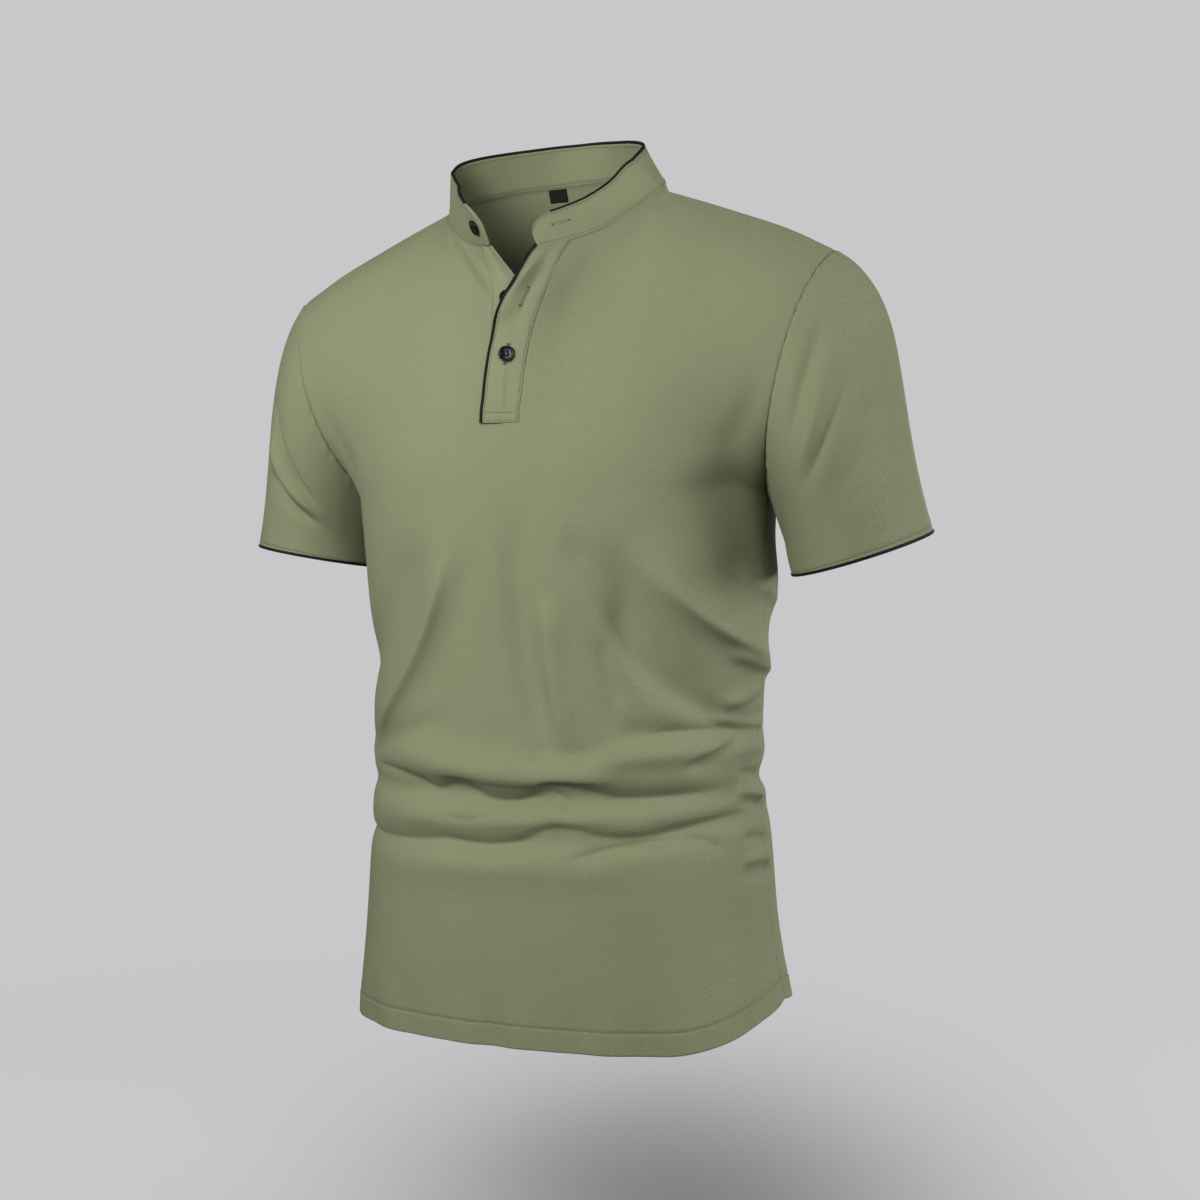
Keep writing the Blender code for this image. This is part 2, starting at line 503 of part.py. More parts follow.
def along_line(line, far):
    """The places on a line of points at given distances from its start."""
    reach = np.concatenate([[0], np.cumsum(np.linalg.norm(np.diff(line, axis=0), axis=1))])
    return np.stack([np.interp(far, reach, line[:, k]) for k in range(3)], -1)


# --- build
def seam_in(grid, near_first, near_last, far_first, far_last, amount):
    """Draws the edges of a grid in along it, so that it stops short of the piece that it meets."""
    grid = grid.copy()
    rows = unit(np.diff(grid, axis=0))
    cols = unit(np.diff(grid, axis=1))
    if near_first:
        grid[0] += rows[0] * amount
    if near_last:
        grid[-1] -= rows[-1] * amount
    if far_first:
        grid[:, 0] += cols[:, 0] * amount
    if far_last:
        grid[:, -1] -= cols[:, -1] * amount
    return grid


def quads(rows, cols, wrap=False):
    """The faces of a grid of points."""
    faces = []
    for r in range(rows - 1):
        for c in range(cols if wrap else cols - 1):
            d = (c + 1) % cols
            faces.append((r * cols + c, r * cols + d, (r + 1) * cols + d, (r + 1) * cols + c))
    return faces


def face_normals(points, faces):
    a, b, c, d = (points[[f[k] for f in faces]] for k in range(4))
    return np.cross(c - a, d - b)


def shared_normals(groups):
    """Vertex normals of the sheets, so that two pieces end on one plane where they meet. A group's sheets go on in one
    another, and each group counts once."""
    sheets = [s for group in groups for s in group]
    points = np.concatenate([s["points"] for s in sheets])
    _, key = np.unique(np.round(points / 2e-5).astype(np.int64), axis=0, return_inverse=True)
    key = key.reshape(-1)
    total = np.zeros((key.max() + 1, 3))
    start = 0
    for group in groups:
        own = np.zeros_like(total)
        for s in group:
            normals = unit(face_normals(s["points"], s["faces"]))
            for k in range(4):
                np.add.at(own, key[[start + f[k] for f in s["faces"]]], normals)
            start += len(s["points"])
        total += unit(own)
    start = 0
    for s in sheets:
        s["normals"] = unit(total[key[start : start + len(s["points"])]])
        start += len(s["points"])


def sheet(name, points, faces, wall=WALL, drawn=None, lift=0.0):
    """A piece of cloth: its outer face, what it is drawn in to at its seams, and its thickness at each point."""
    points = np.asarray(points)
    if np.isscalar(wall):
        wall = np.full(len(points), wall)
    return {
        "name": name, "points": points, "faces": faces, "wall": wall,
        "drawn": points if drawn is None else drawn, "lift": lift,
    }  # fmt: skip


def make(name, points, faces, finish):
    """A smooth-shaded object with its material."""
    mesh = bpy.data.meshes.new(name)
    mesh.from_pydata([tuple(map(float, p)) for p in points], [], faces)
    mesh.materials.append(finish)
    mesh.shade_smooth()
    mesh.set_sharp_from_angle(angle=math.radians(50))
    obj = bpy.data.objects.new(name, mesh)
    bpy.context.scene.collection.objects.link(obj)
    return obj


def material(name, red, green, blue, roughness):
    finish = bpy.data.materials.new(name)
    finish.use_nodes = True
    shader = finish.node_tree.nodes["Principled BSDF"]
    shader.inputs["Base Color"].default_value = (red, green, blue, 1)
    shader.inputs["Roughness"].default_value = roughness
    shader.inputs["Metallic"].default_value = 0
    return finish


def thicken(s, finish):
    """Closes a sheet into a wall: the outer face, the inner face and the rim all round."""
    n = len(s["points"])
    outer = s["drawn"] + s["normals"] * s["lift"]
    inner = outer - s["normals"] * s["wall"][:, None]
    faces = list(s["faces"]) + [tuple(n + i for i in f[::-1]) for f in s["faces"]]
    edges = {(a, b) for f in s["faces"] for a, b in zip(f, f[1:] + f[:1])}
    faces += [(b, a, n + a, n + b) for a, b in sorted(edges) if (b, a) not in edges]
    return make(s["name"], np.concatenate([outer, inner]), faces, finish)


def cord(name, line, finish, closed=False, sides=6):
    """Piping: a round cord along a line."""
    if closed:
        along = unit(np.roll(line, -1, 0) - np.roll(line, 1, 0))
    else:
        along = unit(np.gradient(line, axis=0))
    side = unit(np.cross(along, [0.13, 0.31, 0.94]))
    up = np.cross(along, side)
    turn = (np.arange(sides) + 0.5) * 2 * math.pi / sides
    spokes = np.cos(turn)[:, None] * side[:, None] + np.sin(turn)[:, None] * up[:, None]
    points = line[:, None] + PIPE * spokes
    count = len(line)
    faces = []
    for r in range(count if closed else count - 1):
        for c in range(sides):
            d, e = (c + 1) % sides, (r + 1) % count
            faces.append((r * sides + c, r * sides + d, e * sides + d, e * sides + c))
    if not closed:
        faces.append(tuple(range(sides))[::-1])
        faces.append(tuple(range((count - 1) * sides, count * sides)))
    return make(name, points.reshape(-1, 3), faces, finish)


# A button's profile, as a share of its radius and a height off the cloth, and its four holes.
RIM = ((0.80, 0.0), (0.97, 0.0006), (1.0, 0.0012), (0.93, 0.0020), (0.80, 0.0021), (0.70, 0.0016), (0.60, 0.0014))
BUTTON_TURNS = 28
HOLE_TURNS = 10
HOLE_AT = 0.30
HOLE = 0.15


def button(name, at, out, up, finish):
    """A four-hole button, its back at the place given and its face looking out."""
    out = unit(np.asarray(out, float))
    up = unit(up - np.dot(up, out) * out)
    side = np.cross(up, out)
    turn = np.arange(BUTTON_TURNS) * 2 * math.pi / BUTTON_TURNS
    spokes = BUTTON * (np.cos(turn)[:, None] * side + np.sin(turn)[:, None] * up)
    points = np.concatenate([at + spokes * far + high * out for far, high in RIM])
    n = BUTTON_TURNS
    faces = [tuple(range(n))[::-1], tuple(range((len(RIM) - 1) * n, len(RIM) * n))]
    for r in range(len(RIM) - 1):
        for k in range(n):
            j = (k + 1) % n
            faces.append((r * n + k, r * n + j, (r + 1) * n + j, (r + 1) * n + k))
    obj = make(name, points, faces, finish)
    n = HOLE_TURNS
    turn = np.arange(n) * 2 * math.pi / n
    spokes = HOLE * BUTTON * (np.cos(turn)[:, None] * side + np.sin(turn)[:, None] * up)
    for k in range(4):
        angle = math.pi / 4 + k * math.pi / 2
        centre = at + HOLE_AT * BUTTON * (math.cos(angle) * side + math.sin(angle) * up)
        points = np.concatenate([centre + spokes - 0.001 * out, centre + spokes + 0.004 * out])
        faces = [(j, (j + 1) % n, n + (j + 1) % n, n + j) for j in range(n)]
        faces += [tuple(range(n))[::-1], tuple(range(n, 2 * n))]
        cutter = make(f"{name}_hole_{k}", points, faces, finish)
        cutter.hide_render = True
        cutter.display_type = "WIRE"
        cut = obj.modifiers.new(f"hole {k}", "BOOLEAN")
        cut.object = cutter
    return obj


def front_sheet():
    """The front: two halves that share their middle column up to the foot of the slit."""
    vs = levels()
    foot_row = len(LOW_ROWS) + 2
    rows, cols = len(vs), len(ACROSS)
    points, drawn, wall, faces, index = [], [], [], [], {}
    for half in (1, -1):
        grid = half_front(half)
        into = seam_in(grid, False, True, False, True, GAP / 2)
        into[UNDERARM_ROW, -1] -= [0, 0, GAP]
        for r in range(rows):
            for c in range(cols):
                if half < 0 and c == 0 and r <= foot_row:
                    index[half, r, c] = index[1, r, c]
                    continue
                index[half, r, c] = len(points)
                points.append(grid[r, c])
                drawn.append(into[r, c])
                wall.append(HEM_WALL if vs[r] <= LOW_ROWS[1] else WALL)
        for r in range(rows - 1):
            for c in range(cols - 1):
                corners = ((r, c), (r, c + 1), (r + 1, c + 1), (r + 1, c))
                faces.append(tuple(index[half, a, b] for a, b in corners[::half]))
    return sheet("front", np.array(points), faces, np.array(wall), np.array(drawn))


def back_sheet():
    vs = levels()
    grid = back_grid()
    drawn = seam_in(grid, False, True, True, True, GAP / 2)
    drawn[UNDERARM_ROW, [0, -1]] -= [0, 0, GAP]
    faces = [f[::-1] for f in quads(*grid.shape[:2])]
    wall = np.repeat(np.where(vs <= LOW_ROWS[1], HEM_WALL, WALL), grid.shape[1])
    return sheet("back", grid.reshape(-1, 3), faces, wall, drawn.reshape(-1, 3))


def sleeve_sheet(name):
    grid = sleeve_grid(name, armhole(CUFFS[name].side), np.linspace(0, 1, SLEEVE_ROWS + 1))
    count = grid.shape[1]
    to_underarm = np.minimum(np.arange(count), count - np.arange(count))
    deeper = UNDERARM_GAP * ease(4, 0, to_underarm)[:, None]
    drawn = seam_in(grid, True, False, False, False, GAP / 2 + deeper)
    faces = quads(*grid.shape[:2], wrap=True)
    if CUFFS[name].side > 0:
        faces = [f[::-1] for f in faces]
    return sheet("sleeve_" + name, grid.reshape(-1, 3), faces, WALL, drawn.reshape(-1, 3))


def collar_sheet():
    us = np.array(ACROSS)
    line, w = band_path(us[us <= NECK_AT + 1e-9], COLLAR_EXTRA)
    grid = band(line, w, COLLAR_ROWS)[0]
    drawn = seam_in(grid, True, False, False, False, 1.6 * GAP)
    faces = [f[::-1] for f in quads(*grid.shape[:2])]
    return sheet("collar", grid.reshape(-1, 3), faces, BAND_WALL, drawn.reshape(-1, 3), COLLAR_PROUD)


def under_wide(v):
    foot = middle_at(SLIT_FOOT)
    return float(follow(np.clip((v - foot) / (2 - foot), 0, 1), OPENING, "under")[0])


def strip_sheet(name, half, wide, wall, lift, raised=0.0):
    """A placket, with its back lift above the panel."""
    over = np.linspace(-1, 1, STRIP_COLUMNS)
    grid, out = strip(half, wide, over, lift + wall, raised)
    faces = quads(*grid.shape[:2])
    if half < 0:
        faces = [f[::-1] for f in faces]
    return sheet(name, grid.reshape(-1, 3), faces, wall), grid, out


def main():
    for obj in list(bpy.data.objects):
        bpy.data.objects.remove(obj)
    knit = material("olive knit", 0.235, 0.260, 0.165, 0.85)
    trim = material("black piping", 0.008, 0.008, 0.009, 0.75)
    hard = material("black button", 0.010, 0.010, 0.011, 0.30)

    body = [front_sheet(), back_sheet(), sleeve_sheet("left"), sleeve_sheet("right"), collar_sheet()]
    shared_normals([body[:2], body[2:3], body[3:4], body[4:]])
    for s in body:
        thicken(s, knit)

    under, under_grid, under_out = strip_sheet("placket_under", -1, under_wide, STRIP_WALL, UNDER_CLEAR)
    upper, upper_grid, upper_out = strip_sheet(
        "placket_upper", 1, lambda v: PLACKET_HALF, WALL, UNDER_CLEAR + STRIP_WALL + CLEAR, RAISED
    )
    for s in (under, upper):
        shared_normals([[s]])
        thicken(s, knit)

    # piping: on the free edge of the upper placket, on the collar's top edge and round the cuffs
    edge = upper_grid[:, 0]
    along = unit(np.gradient(edge, axis=0))
    way = edge - upper_grid[:, 1]
    way = unit(way - (way * along).sum(1, keepdims=True) * along)
    cord("piping_placket", edge + way * (CLEAR + PIPE) + upper_out[:, 0] * (PIPE - WALL), trim)
    collar = body[4]
    size = (len(COLLAR_ROWS), -1, 3)
    top = (collar["drawn"] + collar["normals"] * (COLLAR_PROUD - BAND_WALL / 2)).reshape(size)
    line = top[-1] + unit(top[-1] - top[-2]) * (GAP + PIPE)
    cord("piping_collar", line[PIPE_SHORT:-PIPE_SHORT], trim)
    for k, name in ((2, "left"), (3, "right")):
        sleeve = body[k]
        mid = (sleeve["points"] - sleeve["normals"] * WALL / 2).reshape(SLEEVE_ROWS + 1, -1, 3)
        line = mid[-1] + unit(mid[-1] - mid[-2]) * (GAP + PIPE)
        cord("piping_sleeve_" + name, line, trim, closed=True)

    # buttons
    def on_strip(grid, out, height):
        """The middle of a placket at a height."""
        column = grid[:, STRIP_COLUMNS // 2]
        normal = out[:, STRIP_COLUMNS // 2]
        at = [np.interp(height, column[:, 2], column[:, k]) for k in range(3)]
        way = [np.interp(height, column[:, 2], normal[:, k]) for k in range(3)]
        return np.array(at), unit(np.array(way))

    up = np.array([0, 0, 1.0])
    at, way = on_strip(upper_grid, upper_out, BUTTON_HEIGHTS[0])
    button("button_front", at + way * BUTTON_SEAT, way, up, hard)
    at, way = on_strip(under_grid, under_out, BUTTON_HEIGHTS[1])
    button("button_under", at + way * BUTTON_SEAT, way, up, hard)
    skin = (collar["drawn"] + collar["normals"] * COLLAR_PROUD).reshape(size)
    lean = collar["normals"].reshape(size)
    far = np.linalg.norm(skin[1] - skin[1, 0], axis=1)
    at = [np.interp(COLLAR_BUTTON_IN, far[:8], skin[1:3, :8, k].mean(0)) for k in range(3)]
    way = [np.interp(COLLAR_BUTTON_IN, far[:8], lean[1:3, :8, k].mean(0)) for k in range(3)]
    way = unit(np.array(way))
    button("button_collar", np.array(at) + way * BUTTON_SEAT, way, up, hard)

    # the size label, bare, inside the back of the neck
    us = np.linspace(LABEL_FROM, LABEL_TO, 5)
    vs = np.linspace(2 - LABEL_TOP, 2 - LABEL_FOOT, 5)
    grid = cloth(us[None, :], vs[:, None], 1)
    across, down = np.gradient(grid, axis=1), np.gradient(grid, axis=0)
    inward = unit(np.cross(down, across))
    grid = grid + inward * (WALL + GAP + STRIP_WALL)
    faces = [f[::-1] for f in quads(*grid.shape[:2])]
    label = sheet("neck_label", grid.reshape(-1, 3), faces, STRIP_WALL)
    shared_normals([[label]])
    thicken(label, trim)


main()
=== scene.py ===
"""Short-sleeved polo shirt with a band collar: its finished look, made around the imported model.

Metres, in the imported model's frame: the origin is on the centre line of the neck, +Z is up, -Y is the
wearer's front and +X is the wearer's left. A panel is a grid of points: one row per level, one column per
place across, from the wearer's right seam (-1) to the left one (1). The same tables give the solids their
form, and here the grids are finer and carry the smaller creases, the seams and the hem.
"""

import functools
import math
from collections import namedtuple

import bpy
import numpy as np
from bpy.props import FloatProperty, FloatVectorProperty, PointerProperty
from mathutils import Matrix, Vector


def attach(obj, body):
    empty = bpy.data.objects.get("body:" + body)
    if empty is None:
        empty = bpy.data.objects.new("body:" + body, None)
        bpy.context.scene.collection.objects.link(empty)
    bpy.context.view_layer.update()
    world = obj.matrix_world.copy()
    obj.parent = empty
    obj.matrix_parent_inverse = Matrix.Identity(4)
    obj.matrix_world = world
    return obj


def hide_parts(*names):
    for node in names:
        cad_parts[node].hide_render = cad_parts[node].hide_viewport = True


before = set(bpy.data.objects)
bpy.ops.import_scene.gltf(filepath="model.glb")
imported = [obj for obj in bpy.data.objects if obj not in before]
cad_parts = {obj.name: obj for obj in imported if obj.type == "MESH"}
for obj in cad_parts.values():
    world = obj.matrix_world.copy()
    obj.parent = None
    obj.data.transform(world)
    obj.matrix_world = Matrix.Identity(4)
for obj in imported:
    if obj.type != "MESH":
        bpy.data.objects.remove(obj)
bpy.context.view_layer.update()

bl_info = {
    "name": "Band Collar Polo Shirt",
    "version": (1, 0, 0),
    "blender": (4, 5, 0),
    "location": "3D View > Sidebar > Polo Shirt",
    "description": "Sews the visible cloth, trim and buttons of a polo shirt onto its packed solids",
    "category": "Object",
}

BODY_NAME = "root"  # the one body that every piece rides on

# --- sizes that are part of the pattern
GAP = 0.0001  # between two pieces that meet
CLEAR = 0.0005  # between two pieces that lie on each other
UNDER_CLEAR = 0.0009  # between the front and the under placket
UNDERARM_GAP = 0.0006
HEM_DEPTH = 0.016
ARMPIT = -0.222  # height of the underarm point
FLAT_TO = 0.24  # the column up to which the chest is flat across the placket
NECK_AT = 0.45  # the column where the shoulder seam meets the neckline
TILT = 0.020  # how much the shoulder line rises towards the wearer's left
PLACKET_FOOT = -0.176  # height of the bottom of the placket
SLIT_FOOT = -0.168  # height of the bottom of the slit
PLACKET_HALF = 0.014
SIDE_SPAN = 0.21  # round the body from the middle of the front to the side
PLACKET_SPAN = 0.165  # round the chest per column, beside the placket
CHEST_SPAN = 0.24  # up a panel from the underarm to the shoulder
SLEEVE_ROUND = 0.36
SLEEVE_LONG = 0.22
BAND_ROUND = 0.021  # how far back from its end the collar's corner is rounded
BUTTON_HEIGHTS = (-0.127, -0.086)  # on the upper placket, on the under one
COLLAR_BUTTON_IN = 0.0105  # from the collar's right end
RAISED = 0.0034  # how far the upper placket stands off over the button below it
COLLAR_PROUD = 0.0005
STITCH_SINK = 0.00006  # how far a row of stitches has sunk into the cloth
COLLAR_LAP = 0.0010  # how far the collar's seam edge laps over the neckline
COLLAR_STEPS = 10  # of the collar's ruler, from each end to the shoulder seam
COLLAR_PAST = 3  # of them lie past the slit, and the others on the neckline
PIPE_SET = 0.55  # how far the piping's middle stands past the edge that it is sewn into, in radii
PIPE_TO = 0.79  # the collar's piping ends at this place on either side
LABEL_SIDES = (-0.125, -0.062)  # the columns of the back between which the label lies
LABEL_ENDS = (0.010, 0.0605)  # its top and its foot, down from the neckline
COLLAR_STITCH = 0.0019  # from the collar's edges to its row of stitches
PLACKET_STITCH = 0.0017  # from a placket's edges to its stitches
BOX_STITCH = 0.0072  # from the upper placket's bottom to the upper row of the box
CUFF_STITCH = 0.0032  # from the cuff's edge to its stitches
SEAT = 0.0004  # between a button and the cloth
HOLE_SPOT = (0.0255, 0.60)  # the collar's buttonhole: from the collar's end, and its share of the height
HOLE_LONG = {"collar": 0.0125, "front": 0.0130, "under": 0.0130}
WAIST = (-0.500, -0.385)  # between these heights the rows are twice as close, for the creases
NEAR_SEAM = (0.0005, 0.0011, 0.0018, 0.0027, 0.0040)  # rows or columns of points beside a seam
NEAR_CUFF = (0.0006, 0.0014, 0.0024, 0.0032, 0.0040, 0.0055)
NEAR_HEM = (
    0.0004, 0.0010, 0.0018, 0.0032, 0.0055, 0.0080, 0.0105, 0.0128, 0.0142, 0.0150, 0.0155, 0.0160, 0.0165,
    0.0170, 0.0178, 0.0192,
)

# The flat cut of each sheet of cloth: its size, how it is held, and its area where that isn't a
# rectangle's.
Cut = namedtuple("Cut", "wide long held area", defaults=[None])
CUTS = {
    "front": Cut(0.45, 0.66, "hung", 0.245),
    "back": Cut(0.45, 0.68, "hung", 0.265),
    "left": Cut(0.36, 0.21, "hung", 0.053),
    "right": Cut(0.36, 0.21, "hung", 0.048),
    "collar": Cut(0.42, 0.031, "stretched"),
    "upper": Cut(0.028, 0.150, "stretched"),
    "under": Cut(0.027, 0.145, "stretched"),
    "label": Cut(0.016, 0.012, "hung"),
}

# One row per level of the body, from the hem up.
Level = namedtuple("Level", "z wide front back square side aft")
BODY = (
    Level(-0.640, 0.172, 0.113, 0.104, 2.34, 0.016, 0.004),
    Level(-0.600, 0.168, 0.113, 0.104, 2.34, 0.014, 0.004),
    Level(-0.540, 0.160, 0.112, 0.103, 2.30, 0.011, 0.004),
    Level(-0.480, 0.156, 0.110, 0.101, 2.26, 0.010, 0.004),
    Level(-0.430, 0.153, 0.107, 0.099, 2.22, 0.008, 0.004),
    Level(-0.380, 0.1530, 0.105, 0.098, 2.20, 0.007, 0.004),
    Level(-0.330, 0.1555, 0.105, 0.101, 2.20, 0.0075, 0.004),
    Level(-0.280, 0.160, 0.108, 0.105, 2.20, 0.008, 0.004),
    Level(-0.222, 0.164, 0.109, 0.108, 2.20, 0.006, 0.004),
)

# The top edges of the panels, with x measured out from the middle: the neckline of the front's left half
# and of its right half, as they stand open, and of the back, then the shoulder seam that they share.
Neck = namedtuple("Neck", "u left_x left_y left_z right_x right_y right_z back_x back_y back_z")
NECK = (
    Neck(0.00, 0.0314, -0.0680, -0.0441, 0.0179, -0.0845, -0.0436, 0.0000, 0.0520, 0.0260),
    Neck(0.12, 0.0430, -0.0565, -0.0394, 0.0330, -0.0710, -0.0390, 0.0280, 0.0490, 0.0255),
    Neck(0.24, 0.0600, -0.0395, -0.0292, 0.0520, -0.0535, -0.0305, 0.0560, 0.0370, 0.0215),
    Neck(0.35, 0.0780, -0.0215, -0.0131, 0.0720, -0.0310, -0.0169, 0.0785, 0.0195, 0.0140),
    Neck(0.41, 0.0855, -0.0115, -0.0032, 0.0835, -0.0155, -0.0073, 0.0862, 0.0080, 0.0080),
    Neck(0.45, 0.0885, -0.0040, 0.0010, 0.0885, -0.0040, 0.0010, 0.0885, -0.0040, 0.0010),
)
Shoulder = namedtuple("Shoulder", "u x y z")
SHOULDER = (
    Shoulder(0.45, 0.0885, -0.004, 0.0010),
    Shoulder(0.70, 0.145, -0.002, -0.0205),
    Shoulder(0.85, 0.186, 0.000, -0.0375),
    Shoulder(1.00, 0.220, 0.000, -0.0560),
)
CLOSED = (0.0055, -0.0900, -0.0500)  # where the middle of the front would end if the placket were done up

# Above the underarm each column is a curve from the chest to its top edge: how far it first runs on from
# the chest, and how far it runs down from the top before it turns.
Column = namedtuple("Column", "u low_x low_y low_z top_x top_y top_z")
FRONT_COLUMNS = (
    Column(0.00, 0.0000, 0.0000, 0.058, 0.000, -0.008, -0.055),
    Column(0.15, 0.0000, 0.0000, 0.058, 0.000, -0.014, -0.050),
    Column(0.30, 0.0020, 0.0000, 0.062, 0.003, -0.028, -0.040),
    Column(0.45, 0.0040, 0.0000, 0.068, 0.006, -0.050, -0.034),
    Column(0.70, 0.0060, -0.0060, 0.066, 0.004, -0.056, -0.032),
    Column(0.85, 0.0100, -0.0340, 0.058, -0.002, -0.060, -0.026),
    Column(1.00, 0.0140, -0.0900, 0.038, -0.012, -0.052, -0.020),
)
BACK_COLUMNS = (
    Column(0.00, 0.0000, 0.0000, 0.075, 0.000, 0.028, -0.060),
    Column(0.15, 0.0000, 0.0000, 0.075, 0.001, 0.030, -0.058),
    Column(0.30, 0.0030, 0.0000, 0.075, 0.002, 0.040, -0.050),
    Column(0.45, 0.0040, 0.0000, 0.075, 0.004, 0.062, -0.036),
    Column(0.70, 0.0060, 0.0060, 0.068, 0.002, 0.062, -0.032),
    Column(0.85, 0.0040, 0.0240, 0.056, -0.006, 0.060, -0.028),
    Column(1.00, -0.0020, 0.0540, 0.036, -0.022, 0.054, -0.018),
)

# How far the two sides of the slit stand open, from the bottom of the placket (0) to the neckline (1), and
# half the width of the under placket there.
Opening = namedtuple("Opening", "q left_x left_y left_z right_x right_y right_z under")
OPENING = (
    Opening(0.000, 0.0000, 0.0000, 0.0000, 0.0000, 0.0000, 0.0000, 0.0130),
    Opening(0.150, 0.0010, 0.0000, 0.0000, 0.0000, 0.0000, 0.0000, 0.0130),
    Opening(0.370, 0.0042, 0.0000, 0.0000, 0.0008, 0.0000, 0.0000, 0.0132),
    Opening(0.555, 0.0093, 0.0000, 0.0000, 0.0018, 0.0000, 0.0000, 0.0136),
    Opening(0.700, 0.0152, 0.0010, 0.0010, 0.0010, 0.0002, 0.0000, 0.0140),
    Opening(0.825, 0.0208, 0.0040, 0.0028, -0.0052, 0.0010, 0.0010, 0.0140),
    Opening(0.910, 0.0238, 0.0100, 0.0045, -0.0131, 0.0028, 0.0030, 0.0130),
    Opening(1.000, 0.0259, 0.0220, 0.0065, -0.0230, 0.0055, 0.0060, 0.0102),
)

# The sleeves: where the cuff's ring stands, which way its outer and front sides lie, and its two half
# widths. full is how far it swells past the shoulder.
Cuff = namedtuple("Cuff", "side x y z out_x out_y out_z front_x front_y front_z across deep full")
CUFFS = {
    "left": Cuff(1, 0.2325, 0.026, -0.266, 0.969, -0.060, 0.249, 0.00, -0.983, -0.184, 0.053, 0.057, 1.12),
    "right": Cuff(-1, -0.2180, 0.016, -0.264, -0.984, 0.000, 0.178, 0.00, -0.998, 0.020, 0.050, 0.053, 0.70),
}
# How the sleeve leaves the armhole, from the underarm (0) over the front to the shoulder (0.5) and down the
# back (1).
Rail = namedtuple("Rail", "round out forward down cuff")
RAILS = (
    Rail(0.00, 0.012, -0.004, 0.044, 0.020),
    Rail(0.12, 0.020, 0.006, 0.042, 0.030),
    Rail(0.30, 0.036, 0.010, 0.048, 0.060),
    Rail(0.42, 0.046, 0.004, 0.040, 0.085),
    Rail(0.50, 0.054, 0.000, 0.032, 0.100),
    Rail(0.58, 0.048, -0.006, 0.038, 0.085),
    Rail(0.70, 0.038, -0.012, 0.046, 0.060),
    Rail(0.88, 0.022, -0.008, 0.042, 0.030),
    Rail(1.00, 0.012, -0.004, 0.044, 0.020),
)

# How the collar stands at each place round the neck, from the wearer's right end (-1) to the left end (1).
Stand = namedtuple("Stand", "w lean high")
BAND = (
    Stand(-1.00, -26, 0.0290),
    Stand(-0.80, -26, 0.0300),
    Stand(-0.62, -6, 0.0315),
    Stand(-0.50, 15, 0.0320),
    Stand(-0.25, 18, 0.0290),
    Stand(0.00, 8, 0.0285),
    Stand(0.25, 24, 0.0270),
    Stand(0.40, 33, 0.0280),
    Stand(0.50, 35, 0.0292),
    Stand(0.60, 32, 0.0285),
    Stand(0.85, 30, 0.0265),
    Stand(1.00, 30, 0.0265),
)

